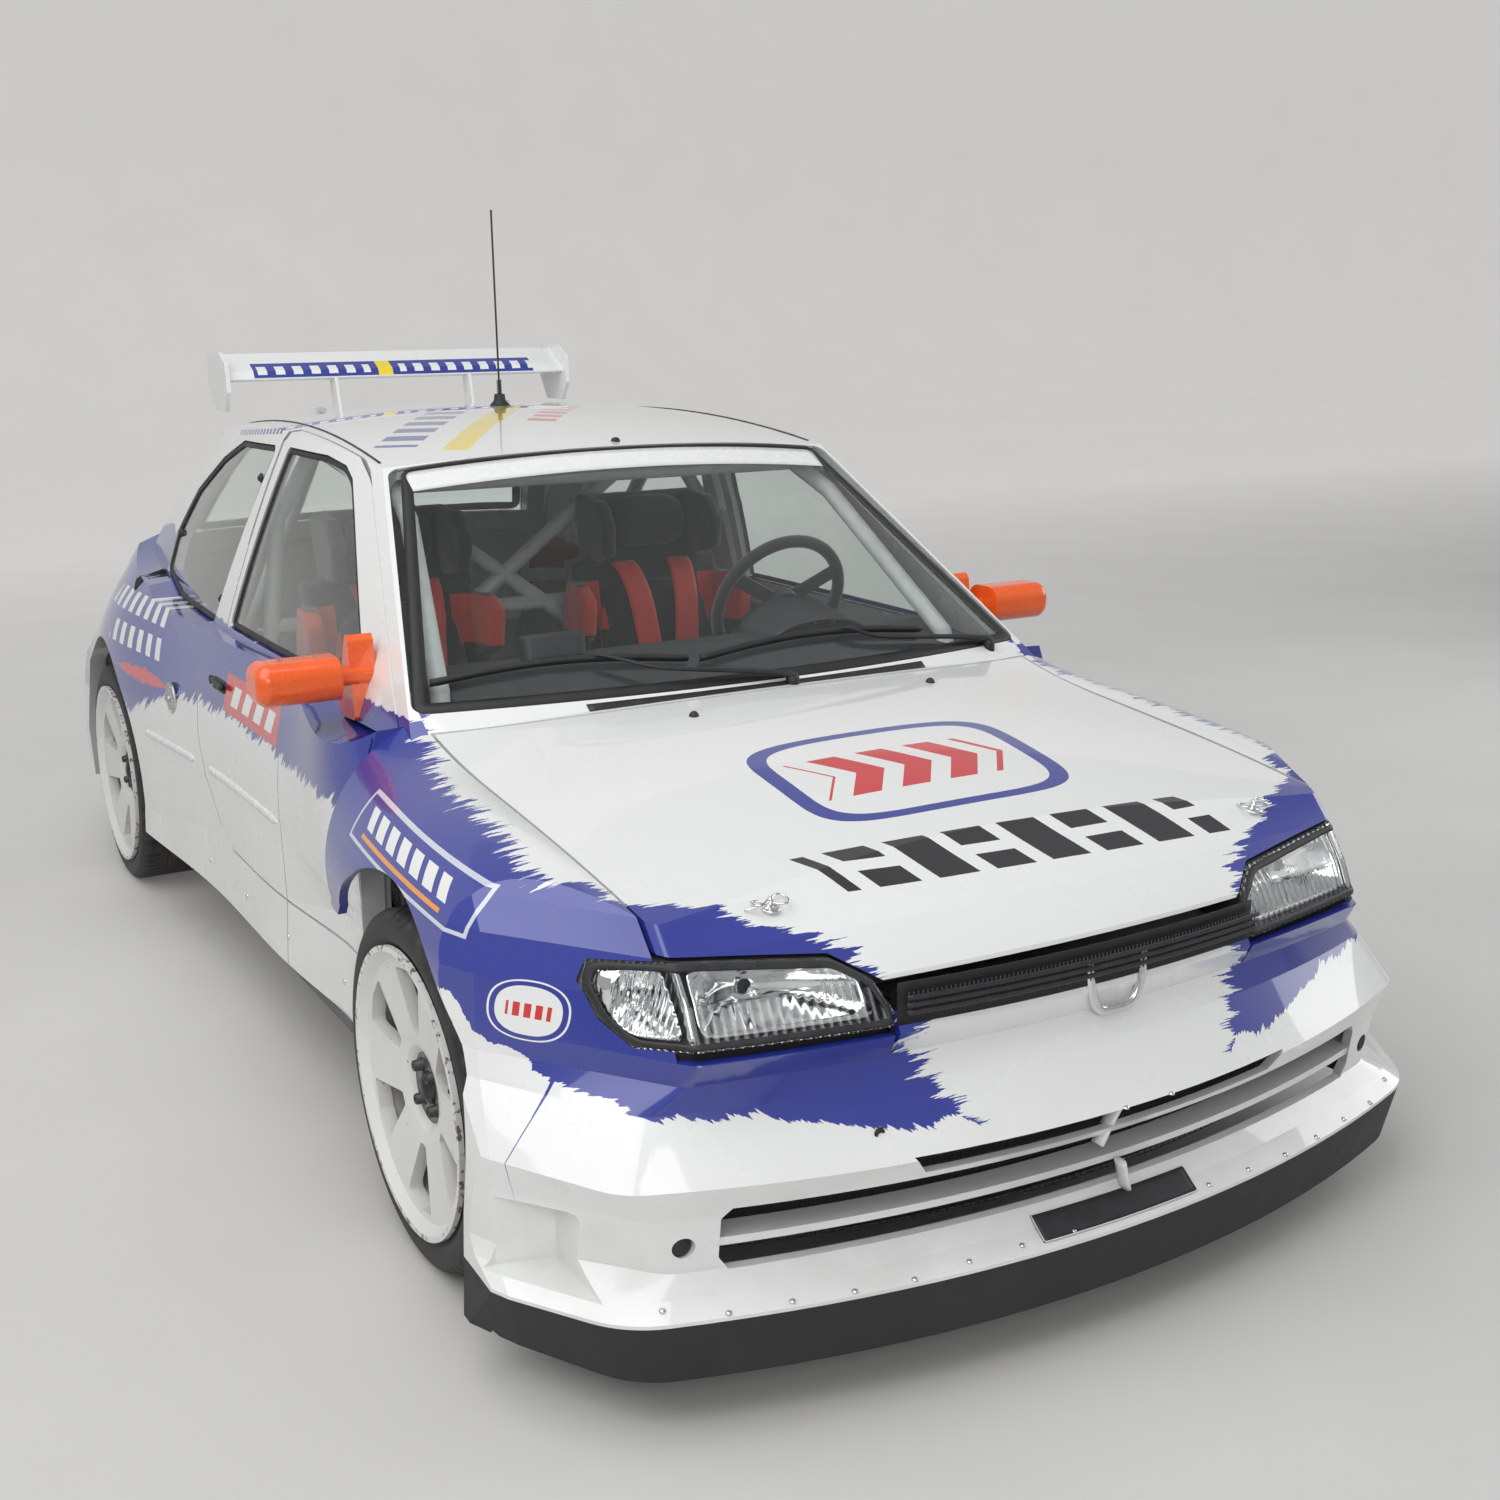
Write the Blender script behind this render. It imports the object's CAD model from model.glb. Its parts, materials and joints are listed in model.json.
import json
from math import cos, pi, radians, sin

import bmesh
import bpy
import numpy as np
from mathutils import Matrix, Vector


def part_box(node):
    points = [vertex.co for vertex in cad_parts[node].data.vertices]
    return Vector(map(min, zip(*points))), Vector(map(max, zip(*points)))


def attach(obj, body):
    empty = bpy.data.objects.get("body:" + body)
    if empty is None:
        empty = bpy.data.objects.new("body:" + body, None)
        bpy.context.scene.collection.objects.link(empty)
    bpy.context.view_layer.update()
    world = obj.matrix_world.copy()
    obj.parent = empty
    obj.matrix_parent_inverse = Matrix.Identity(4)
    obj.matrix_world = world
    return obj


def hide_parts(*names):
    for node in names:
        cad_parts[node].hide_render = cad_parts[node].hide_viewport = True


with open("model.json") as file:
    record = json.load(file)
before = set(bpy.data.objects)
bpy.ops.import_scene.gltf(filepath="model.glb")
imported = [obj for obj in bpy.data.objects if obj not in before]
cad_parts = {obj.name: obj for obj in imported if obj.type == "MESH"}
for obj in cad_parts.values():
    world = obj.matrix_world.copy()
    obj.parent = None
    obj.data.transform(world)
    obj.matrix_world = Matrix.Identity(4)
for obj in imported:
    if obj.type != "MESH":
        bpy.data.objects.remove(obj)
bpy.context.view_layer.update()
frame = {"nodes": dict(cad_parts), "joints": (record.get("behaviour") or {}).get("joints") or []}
nodes = frame["nodes"]

# Viewpoint
# The place the photograph was taken from: eye height, in front of the car's right-hand corner, tilted a
# little down.  Stations along the car are measured back from the front axle.
front_axle_y = next(j["pos_m"][1] for j in frame["joints"] if j["name"] == "wheel_front_left_spin")


def at(station):
    """Y of a station in metres behind the front axle."""
    return front_axle_y + station


def placed(name, data):
    """A new object in the scene that shows a mesh, a camera or a lamp."""
    made = bpy.data.objects.new(name, data)
    bpy.context.scene.collection.objects.link(made)
    return made


yaw, pitch, roll = 0.5265, 0.2432, -0.0109
eye_x, eye_station, eye_height = -1.82208, -2.75934, 1.63032
ahead = Vector((sin(yaw) * cos(pitch), cos(yaw) * cos(pitch), -sin(pitch)))
level = ahead.cross(Vector((0, 0, 1))).normalized()
upright = level.cross(ahead)
to_right = level * cos(roll) + upright * sin(roll)
upwards = upright * cos(roll) - level * sin(roll)
camera = placed("camera", bpy.data.cameras.new("camera"))
camera.matrix_world = Matrix.Translation((eye_x, at(eye_station), eye_height)) @ Matrix(
    (to_right, upwards, -ahead)).transposed().to_4x4()
camera.data.sensor_width = 36
camera.data.lens = 42.558
bpy.context.scene.camera = camera

# Studio
# A pale grey floor that sweeps up into a pale wall far behind the car, one big soft light overhead, a
# second in front and a weak one from the side.


def feed(socket, value):
    """Link a socket to a field or another socket, or set it to a plain value."""
    if isinstance(value, Field):
        value = value.socket
    if isinstance(value, bpy.types.NodeSocket):
        socket.id_data.links.new(value, socket)
    else:
        socket.default_value = value


def node(tree, kind, inputs=None, **settings):
    """A shader node with its settings made and its inputs fed by name."""
    made = tree.nodes.new("ShaderNode" + kind)
    for name, value in settings.items():
        setattr(made, name, value)
    for name, value in (inputs or {}).items():
        feed(made.inputs[name], value)
    return made


def arithmetic(operation, turned=False):
    """A way to join a field and another value by one step, its two sides turned round where asked."""
    def joined(field, other):
        return field.math(operation, *((other, field) if turned else (field, other)))
    return joined


class Field:
    """A value that changes over a surface.  Arithmetic on it lays the shader nodes that work it out."""
    __add__, __radd__ = arithmetic("ADD"), arithmetic("ADD", True)
    __sub__, __rsub__ = arithmetic("SUBTRACT"), arithmetic("SUBTRACT", True)
    __mul__, __rmul__ = arithmetic("MULTIPLY"), arithmetic("MULTIPLY", True)
    __truediv__, __pow__ = arithmetic("DIVIDE"), arithmetic("POWER")
    __lt__, __gt__ = arithmetic("LESS_THAN"), arithmetic("GREATER_THAN")

    def __init__(self, socket):
        self.socket, self.tree = socket, socket.id_data

    def __abs__(self):
        return self.math("ABSOLUTE", self)

    def math(self, operation, *values):
        """The result of one arithmetic step."""
        made = self.tree.nodes.new("ShaderNodeMath")
        made.operation = operation
        for socket, value in zip(made.inputs, values):
            feed(socket, value)
        return Field(made.outputs[0])


def larger(field, other):
    """The larger of two fields at each point."""
    return field.math("MAXIMUM", field, other)


def ramp(field, low, high, result_low=0.0, result_high=1.0):
    """A straight rise of the result while the field goes from low to high, level beyond."""
    made = node(field.tree, "MapRange", {"Value": field, "From Min": low, "From Max": high,
                                         "To Min": result_low, "To Max": result_high})
    return Field(made.outputs["Result"])


def noise(tree, scale, detail=2.0, roughness=0.5, point=None):
    """Noise over the surface's place in the car, or over another point worked out from it."""
    if point is None:
        point = node(tree, "TexCoord").outputs["Object"]
    return Field(node(tree, "TexNoise", {"Vector": point, "Scale": scale, "Detail": detail,
                                         "Roughness": roughness}).outputs[0])


def rays(tree, kind):
    """On where the surface is met by rays of one kind."""
    return Field(node(tree, "LightPath").outputs["Is %s Ray" % kind])


def new_material(name, **values):
    """A material whose Principled shader has the given plain values; returns material, tree and shader."""
    material = bpy.data.materials.new(name)
    material.use_nodes = True
    tree = material.node_tree
    shader = tree.nodes["Principled BSDF"]
    for socket, value in values.items():
        shader.inputs[socket.replace("_", " ").title().replace("Ior", "IOR")].default_value = value
    return material, tree, shader


def surface(name, points, closed_across=False, closed_along=False):
    """A mesh over a grid of points, rows along and columns across, with quads between neighbours."""
    rows, columns = points.shape[:2]
    index = np.arange(rows * columns).reshape(rows, columns)
    if closed_across:
        index = np.concatenate([index, index[:, :1]], 1)
    if closed_along:
        index = np.concatenate([index, index[:1]], 0)
    quads = np.stack([index[:-1, :-1], index[:-1, 1:], index[1:, 1:], index[1:, :-1]], -1).reshape(-1, 4)
    mesh = bpy.data.meshes.new(name)
    mesh.from_pydata(points.reshape(-1, 3).tolist(), [], quads.tolist())
    work = bmesh.new()
    work.from_mesh(mesh)
    bmesh.ops.remove_doubles(work, verts=work.verts, dist=1e-6)
    bmesh.ops.recalc_face_normals(work, faces=work.faces)
    work.to_mesh(mesh)
    work.free()
    mesh.shade_smooth()
    return placed(name, mesh)


near_edge, bend_start, bend_radius, wall_top = -14, 16, 4, 16
bend = np.linspace(0.1, 1, 12) * pi / 2
depth = np.concatenate([np.linspace(near_edge, bend_start, 16), bend_start + bend_radius * np.sin(bend),
                        np.full(2, bend_start + bend_radius)])
height = np.concatenate([np.zeros(16), bend_radius - bend_radius * np.cos(bend), [9, wall_top]])
across = np.linspace(-30, 40, 36)
sweep = np.stack([np.tile(across, (len(depth), 1)), np.tile(depth[:, None], (1, len(across))),
                  np.tile(height[:, None], (1, len(across)))], -1)
floor = surface("floor", sweep)
paper, tree, shader = new_material("studio_floor", roughness=0.7)
floor_ramp = node(tree, "ValToRGB", {"Fac": noise(tree, 1.4, 6.0)})
floor_ramp.color_ramp.elements[0].color = (0.56, 0.555, 0.54, 1)
floor_ramp.color_ramp.elements[1].color = (0.66, 0.655, 0.64, 1)
feed(shader.inputs["Base Color"], floor_ramp.outputs["Color"])
seen_straight = larger(rays(tree, "Camera"), larger(rays(tree, "Glossy"), rays(tree, "Transmission")))
place = node(tree, "SeparateXYZ", {"Vector": node(tree, "TexCoord").outputs["Object"]})
shader.inputs["Emission Color"].default_value = (0.86, 0.85, 0.83, 1)
glow = ramp(Field(place.outputs["Y"]), -1.0, 9.0, 0.0, 0.42)
feed(shader.inputs["Emission Strength"], seen_straight * glow)
floor.data.materials.append(paper)

for name, place, aim, size, watts in (
        ("overhead", (-2.7, -1.4, 5.0), (-0.2, 0, 0), (5.0, 6.5), 215),
        ("front", (-2.4, -6.6, 3.0), (0, -0.5, 0.5), (3.5, 2.5), 85),
        ("side", (5.6, -1.5, 2.6), (0, 0, 0.5), (4, 2.5), 75)):
    lamp = bpy.data.lights.new(name, "AREA")
    lamp.shape, lamp.size, lamp.size_y, lamp.energy = "RECTANGLE", size[0], size[1], watts
    stand = placed(name, lamp)
    stand.location = place
    stand.rotation_euler = (Vector(aim) - Vector(place)).to_track_quat("-Z", "Y").to_euler()
world = bpy.data.worlds.new("studio")
world.use_nodes = True
world.node_tree.nodes["Background"].inputs["Color"].default_value = (0.78, 0.79, 0.8, 1)
feed(world.node_tree.nodes["Background"].inputs["Strength"], rays(world.node_tree, "Camera") * 0.35 + 0.5)
bpy.context.scene.world = world
bpy.context.scene.view_settings.view_transform = "Standard"

# Painted body
# Steel and plastic panels in gloss white with a brushed blue: its edges end in torn strokes.  Every panel
# shares one finish under a clear coat; the blue runs on from panel to panel.
WHITE = (0.80, 0.81, 0.80, 1)
BLUE = (0.022, 0.036, 0.29, 1)
RED = (0.62, 0.025, 0.03, 1)
YELLOW = (0.85, 0.66, 0.03, 1)
INK = (0.016, 0.016, 0.018, 1)
PRIMER = (0.50, 0.51, 0.51, 1)
DUST = (0.30, 0.28, 0.24, 1)
SIGN_EDGE = (0.6, 0.62, 0.7, 1)
ORANGE = (0.8, 0.3, 0.03, 1)
JOINT = (0.12, 0.12, 0.12, 1)


def smaller(field, other):
    """The smaller of two fields at each point."""
    return field.math("MINIMUM", field, other)


def set_shader(shader, relief=None, **fields):
    """Feed fields to a shader's sockets; relief is its height, strength and depth."""
    for name, value in fields.items():
        feed(shader.inputs[name.replace("_", " ").title()], value)
    if relief:
        height, strength, depth = relief
        feed(shader.inputs["Normal"], node(shader.id_data, "Bump", {
            "Height": height, "Strength": strength, "Distance": depth}).outputs[0])


def every(*masks):
    """A mask that is on where all the given masks are."""
    whole = masks[0]
    for mask in masks[1:]:
        whole = whole * mask
    return whole


def near(field, middle, half):
    """A mask that is on within half of the middle."""
    return field.math("COMPARE", field, middle, half)


def oblong(*sides):
    """A mask that is on within half of the middle of every (field, middle, half)."""
    return every(*(near(*side) for side in sides))


def fraction(field):
    """What a field is above the whole number below it."""
    return field.math("FRACT", field)


def stripes(field, period, share):
    """A mask of stripes: on for the given share of each period."""
    return fraction(field / period) < share


def where(tree):
    """The shaded point: x, station, height, and distance from the middle line."""
    place = node(tree, "TexCoord").outputs["Object"]
    x, y, z = map(Field, node(tree, "SeparateXYZ", {"Vector": place}).outputs)
    return x, y - front_axle_y, z, abs(x)


def along(field, points):
    """A broken line through (value, result) points, level beyond its ends."""
    first, last = points[0][0], points[-1][0]
    low, high = min(p[1] for p in points), max(p[1] for p in points)
    bend = node(field.tree, "FloatCurve", {"Value": ramp(field, first, last)})
    curve = bend.mapping.curves[0]
    scaled = [((p - first) / (last - first), (v - low) / (high - low)) for p, v in points]
    curve.points[0].location, curve.points[1].location = scaled[0], scaled[-1]
    for place in scaled[1:-1]:
        curve.points.new(*place)
    for point in curve.points:
        point.handle_type = "VECTOR"
    bend.mapping.update()
    return Field(bend.outputs[0]) * (high - low) + low


def tint(mask, under, over):
    """One colour where the mask is off and another where it is on."""
    made = node(mask.tree, "Mix", data_type="RGBA")
    for socket, value in zip((made.inputs[0], made.inputs[6], made.inputs[7]), (mask, under, over)):
        feed(socket, value)
    return Field(made.outputs[2])


def laid_over(colour, *coats):
    """A colour with others laid over it in turn, each coat a mask and its colour."""
    for mask, paint in coats:
        colour = tint(mask, colour, paint)
    return colour


def new_group(name, inputs, outputs):
    """A shader node group; returns its tree, its inputs as fields and the sockets of its outputs."""
    tree = bpy.data.node_groups.new(name, "ShaderNodeTree")
    for socket, value in inputs.items():
        kind = "NodeSocketColor" if isinstance(value, tuple) else "NodeSocketFloat"
        tree.interface.new_socket(socket, in_out="INPUT", socket_type=kind).default_value = value
    for socket, kind in outputs.items():
        tree.interface.new_socket(socket, in_out="OUTPUT", socket_type="NodeSocket" + kind)
    sources = tree.nodes.new("NodeGroupInput").outputs
    return tree, {name: Field(sources[name]) for name in inputs}, tree.nodes.new("NodeGroupOutput").inputs


def use(tree, group, inputs):
    """A placed node group with its inputs fed; returns its outputs as fields by name."""
    made = tree.nodes.new("ShaderNodeGroup")
    made.node_tree = group
    for name, value in inputs.items():
        feed(made.inputs[name], value)
    return {socket.name: Field(socket) for socket in made.outputs}


# Torn brush edge: a distance from the edge is pushed in and out by noise that is long across the edge
brush, given, result = new_group("torn_brush_edge", {
    "Distance": 0.0, "Along": 0.0, "Across": 0.0, "Reach": 0.06, "Teeth": 38.0}, {"Mask": "Float"})


def bristles(teeth, drawn_out):
    """Noise that is fine along the edge and drawn out across it."""
    point = node(brush, "CombineXYZ", {
        "X": given["Along"] * teeth, "Y": given["Across"] * (teeth * drawn_out)}).outputs[0]
    return noise(brush, 1.0, 4.0, 0.7, point)


tufts, hairs = bristles(given["Teeth"], 0.10), bristles(given["Teeth"] * 4.0, 0.05)
wander = (tufts - 0.5) * 1.25 + (hairs - 0.5) * 0.55
feed(result["Mask"], wander * given["Reach"] + given["Distance"] > 0.0)


def torn(distance, along_edge, across_edge, reach, teeth):
    """A mask that is on where the distance is above nought, its edge torn into strokes."""
    return use(distance.tree, brush, {"Distance": distance, "Along": along_edge, "Across": across_edge,
                                      "Reach": reach, "Teeth": teeth})["Mask"]


# Paint under clear coat: faint dust low down, a little uneven gloss, and the film's orange peel
coat, given, result = new_group("coated_paint", {"Color": WHITE, "Height": 0.5},
                                {"Color": "Color", "Roughness": "Float", "Peel": "Float"})
cloud = noise(coat, 5.0, 6.0, 0.6)
dusty = ramp(given["Height"], 0.50, 0.12, 0.0, 0.34) * ramp(cloud, 0.35, 0.75)
feed(result["Color"], tint(dusty, given["Color"], DUST))
feed(result["Roughness"], cloud * 0.06 + (dusty * 0.5 + 0.24))
feed(result["Peel"], noise(coat, 150.0, 1.0))


def painted(name, mark, panels, inner=-0.4):
    """Gloss paint on the named panels; mark gives the colour at a point.  A face whose outward reach from
    the middle of the car is below inner is an inner face, left in grey primer."""
    material, tree, shader = new_material(name, coat_weight=1.0, coat_roughness=0.03)
    x, s, z, out = where(tree)
    from_middle = node(tree, "CombineXYZ", {"X": x, "Y": s - 1.0, "Z": z - 0.6}).outputs[0]
    outwards = Field(node(tree, "VectorMath", {0: node(tree, "TexCoord").outputs["Normal"], 1: from_middle},
                          operation="DOT_PRODUCT").outputs["Value"])
    film = use(tree, coat, {"Color": tint(outwards < inner, mark(x, s, z, out), PRIMER), "Height": z})
    set_shader(shader, (film["Peel"], 0.01, 0.0002), base_color=film["Color"], roughness=film["Roughness"])
    dress(material, panels)


def dress(material, names):
    """Give CAD nodes this material."""
    for name in names:
        mesh = nodes[name].data
        mesh.materials.clear()
        mesh.materials.append(material)


def front_blue(s, z, out):
    """The blue of the front corners: outside a line on the bonnet and above a line on bumper and wing."""
    inner_edge = along(s, [
        (-0.80, 0.262), (-0.76, 0.276), (-0.70, 0.32), (-0.66, 0.372), (-0.626, 0.392), (-0.598, 0.425),
        (-0.553, 0.53), (-0.503, 0.61), (-0.449, 0.69), (-0.38, 0.735), (-0.30, 0.795), (-0.20, 0.775),
        (-0.111, 0.775), (0.16, 0.76), (0.323, 0.728), (0.44, 0.70)])
    bumper_edge = (s < -0.455) * along(out, [
        (0.25, 0.405), (0.276, 0.419), (0.419, 0.432), (0.591, 0.460), (0.731, 0.471), (0.791, 0.487),
        (0.841, 0.497), (0.93, 0.52)])
    wing_edge = along(s, [(-0.46, 0.0), (-0.452, 0.492), (-0.33, 0.545), (-0.27, 0.60), (-0.235, 0.605),
                          (-0.23, 0.0), (0.45, 0.0)])
    return every(torn(out - inner_edge, s + z, out, 0.17, 36.0),
                 torn(z - larger(bumper_edge, wing_edge), out - s, z, 0.05, 26.0))


def front_mark(x, s, z, out):
    """White with the blue front corners."""
    return tint(front_blue(s, z, out), WHITE, BLUE)


def bonnet_mark(x, s, z, out):
    """The front corners, a blue ring with red chevrons in its middle, and a black row of slanted bars."""
    back = s + 0.2
    size = (out / 0.282) ** 5.0 + (abs(back) / 0.172) ** 5.0
    ring = every(size < 1.0, size > 0.52)
    chevron = x + abs(back) * 0.75
    field = oblong((back, 0.0, 0.078), (chevron, 0.025, 0.19))
    chevrons = every(field, stripes(chevron + 1.165, 0.105, 0.58))
    row = s + (x * 0.038 + 0.493)
    slant = row * 0.55 + x
    bars = every(oblong((row, 0.0, 0.047), (slant, 0.027, 0.4)), stripes(slant + 1.003, 0.115, 0.7))
    slit = every(near(row, 0.0, 0.011), stripes(slant + 1.003, 0.23, 0.5))
    return laid_over(front_mark(x, s, z, out), (ring, BLUE), (chevrons, RED),
                     (every(bars, 1.0 - slit), INK))


def wing_mark(x, s, z, out):
    """The front corners, a framed sign of plain bars above the arch and a rounded patch by the lamp."""
    level = z - (s * 0.0585 + 0.7393)
    middle = s + 0.005
    slant = level * -0.9 + middle
    bars = every(oblong((slant, 0.012, 0.2), (level, 0.007, 0.015)), stripes(slant + 1.0, 0.062, 0.66))
    patch = (abs(s + 0.401) / 0.062) ** 2.4 + (abs(z - 0.597) / 0.047) ** 2.4
    patch_bars = every(oblong((z, 0.597, 0.011), (s, -0.401, 0.034)), stripes(s + 1.0, 0.017, 0.62))
    return laid_over(
        front_mark(x, s, z, out),
        (oblong((middle, 0.0, 0.2735), (level, 0.0, 0.039)), SIGN_EDGE),
        (oblong((middle, 0.0, 0.2655), (level, 0.0, 0.033)), BLUE), (bars, WHITE),
        (oblong((middle, 0.012, 0.2), (level, -0.0205, 0.0035)), ORANGE),
        (patch < 1.0, WHITE), (every(patch < 0.88, patch > 0.6), BLUE), (patch_bars, RED))


def side_mark(x, s, z, out):
    """The blue band below the windows with its signs: a red panel, two rows of white bars, a red flash."""
    low = along(s, [(0.404, 0.712), (0.941, 0.710), (1.368, 0.713), (1.635, 0.708), (1.927, 0.670),
                    (2.232, 0.577), (2.6, 0.55), (3.2, 0.52)])
    top = along(s, [(0.404, 0.885), (1.70, 0.885), (2.0, 0.905), (2.4, 0.98), (2.6, 1.04), (2.8, 1.02),
                    (3.2, 0.95)])
    blue = every(torn(z - low, z * 1.1 + s, z, 0.11, 30.0), torn(top - z, s, z, 0.03, 24.0))
    panel_bars = every(oblong((s, 1.205, 0.19), (z, 0.765, 0.024)), stripes(z * 0.4 + s, 0.095, 0.6))
    rows = larger(oblong((z, 0.85, 0.024), (s, 2.33, 0.3)), oblong((z, 0.772, 0.027), (s, 2.25, 0.24)))
    flash = torn(abs(s - 2.12) * -0.09 + 0.022 - abs(z - 0.692), s, z, 0.03, 24.0)
    dashes = every(oblong((s * 0.06 + z, 1.452, 0.007), (s, 1.86, 0.24)), stripes(s, 0.032, 0.6))
    door_joint = every(near(s, 0.955, 0.0022), z < 0.712)
    return laid_over(
        WHITE, (blue, BLUE), (oblong((s, 1.205, 0.225), (z, 0.765, 0.045)), RED), (panel_bars, WHITE),
        (every(rows, stripes(z * -0.5 + s, 0.078, 0.5)), WHITE), (flash, RED), (dashes, BLUE),
        (door_joint, JOINT))


def roof_mark(x, s, z, out):
    """White with a yellow stripe set askew between rows of blue and red bars."""
    across_it = x * 0.825 + (s * -0.565 + 0.8909)
    along_it = x * 0.565 + (s * 0.825 - 0.6443)
    stripe = oblong((across_it, 0.0, 0.03), (along_it, 0.375, 0.375))
    blue_row = every(oblong((across_it, -0.145, 0.05), (along_it, 0.33, 0.3)),
                     stripes(along_it, 0.098, 0.56))
    red_row = every(oblong((across_it, 0.125, 0.035), (along_it, 0.6, 0.24)),
                    stripes(along_it, 0.075, 0.56))
    return laid_over(WHITE, (stripe, YELLOW), (blue_row, BLUE), (red_row, RED))


def rear_wing_mark(x, s, z, out):
    """White with a blue band on the blade's front, a yellow block in it and white bars either side."""
    band = every(oblong((z, 1.476, 0.0195), (x, -0.01, 0.43)), s < 2.46)
    bars = every(band, near(z, 1.476, 0.011), stripes(x + 1.0, 0.052, 0.52), abs(x + 0.05) > 0.045)
    return laid_over(WHITE, (band, BLUE), (bars, WHITE), (every(band, near(x, -0.05, 0.022)), YELLOW))


def tail_mark(x, s, z, out):
    """White with the blue of the sides running round the rear corners."""
    edge = smaller(out - 0.46, smaller(z - 0.53, 0.96 - z))
    return tint(torn(edge, z, x, 0.12, 30.0), WHITE, BLUE)


painted("bonnet_paint", bonnet_mark, ["bonnet"])
painted("wing_paint", wing_mark, ["front_wing_left", "front_wing_right"])
painted("bumper_paint", front_mark, ["front_bumper", "grille_bar"])
painted("side_paint", side_mark, ["body_side_left", "body_side_right", "door_left", "door_right"])
painted("roof_paint", roof_mark, ["roof"])
painted("rear_wing_paint", rear_wing_mark, ["rear_wing"], inner=-9.0)
painted("tail_paint", tail_mark, ["tailgate", "rear_bumper"])

# Windows
# Clear laminated and toughened glass, faintly green, bonded in black rubber.  The windscreen has a bare
# white sun strip stuck along its top edge.


def grained(name, light, dark, scale, low, high, bump=0.15, depth=0.0006, **values):
    """A material that wanders between two colours and two roughnesses with a fine grain."""
    material, tree, shader = new_material(name, **values)
    given = use(tree, grain, {"Light": light, "Dark": dark, "Scale": scale, "Low": low, "High": high})
    set_shader(shader, (given["Height"], bump, depth),
               base_color=given["Color"], roughness=given["Roughness"])
    return material


grain, given, result = new_group(
    "grain", {"Light": WHITE, "Dark": INK, "Scale": 200.0, "Low": 0.4, "High": 0.6},
    {"Color": "Color", "Roughness": "Float", "Height": "Float"})
fine, broad = noise(grain, given["Scale"], 3.0), noise(grain, given["Scale"] * 0.06, 5.0, 0.65)
mixed = ramp(broad * 0.7 + fine * 0.3, 0.36, 0.64)
feed(result["Color"], tint(mixed, given["Dark"], given["Light"]))
feed(result["Roughness"], mixed * (given["High"] - given["Low"]) + given["Low"])
feed(result["Height"], fine)

rubber = grained("seal_rubber", (0.022, 0.022, 0.023, 1), (0.010, 0.010, 0.011, 1), 300, 0.42, 0.62)
white_film = grained("white_film", (0.80, 0.81, 0.80, 1), (0.76, 0.77, 0.76, 1), 700, 0.22, 0.30,
                     bump=0.02, depth=0.0002)
glass, tree, shader = new_material("window_glass", transmission_weight=1.0, ior=1.45)
smear = ramp(noise(tree, 7.0, 7.0, 0.7), 0.45, 0.8, 0.0, 0.05)
set_shader(shader, base_color=tint(smear, (0.90, 0.95, 0.93, 1), (0.5, 0.49, 0.46, 1)),
           roughness=smear * 1.2, alpha=1.0 - rays(tree, "Shadow") * 0.88)
dress(glass, ["windscreen", "door_glass_left", "door_glass_right", "quarter_glass", "rear_glass"])


def onto(points, target, direction):
    """The points moved along a direction until they meet a CAD node; one that misses it goes as deep as the
    nearest that met it."""
    turned = Vector(direction).to_track_quat("Z", "Y").to_matrix().to_4x4()
    spin = np.array(turned)[:3, :3]
    local = points.reshape(-1, 3) @ spin
    mesh = bpy.data.meshes.new("probe")
    mesh.from_pydata(local.tolist(), [], [])
    probe = placed("probe", mesh)
    probe.matrix_world = turned
    wrap = probe.modifiers.new("wrap", "SHRINKWRAP")
    wrap.target, wrap.wrap_method = nodes[target], "PROJECT"
    wrap.use_project_z = True
    wrap.use_positive_direction, wrap.use_negative_direction = True, False
    moved = probe.evaluated_get(bpy.context.evaluated_depsgraph_get()).data
    found = np.empty(local.size)
    moved.vertices.foreach_get("co", found)
    found = found.reshape(-1, 3)
    bpy.data.objects.remove(probe)
    missed = abs(found[:, 2] - local[:, 2]) < 1e-6
    if missed.any() and not missed.all():
        hits = found[~missed]
        apart = np.linalg.norm(found[missed][:, None, :2] - hits[None, :, :2], axis=2)
        found[missed, 2] = hits[apart.argmin(1), 2]
    return (found @ spin.T).reshape(points.shape)


def strip(name, grid, outward, low, high, closed_along=False):
    """A closed strip over a grid: its top and bottom stand off by high and low along the outward vector."""
    outward = np.asarray(outward, float)
    top = grid + outward * np.broadcast_to(high, grid.shape[:2])[..., None]
    bottom = grid + outward * np.broadcast_to(low, grid.shape[:2])[..., None]
    around = np.concatenate([top, bottom[:, ::-1]], 1)
    if not closed_along:
        middle = (top + bottom) / 2
        ends = np.concatenate([middle, middle[:, ::-1]], 1)
        around = np.concatenate([ends[:1], around, ends[-1:]], 0)
    return surface(name, around, closed_across=True, closed_along=closed_along)


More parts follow.
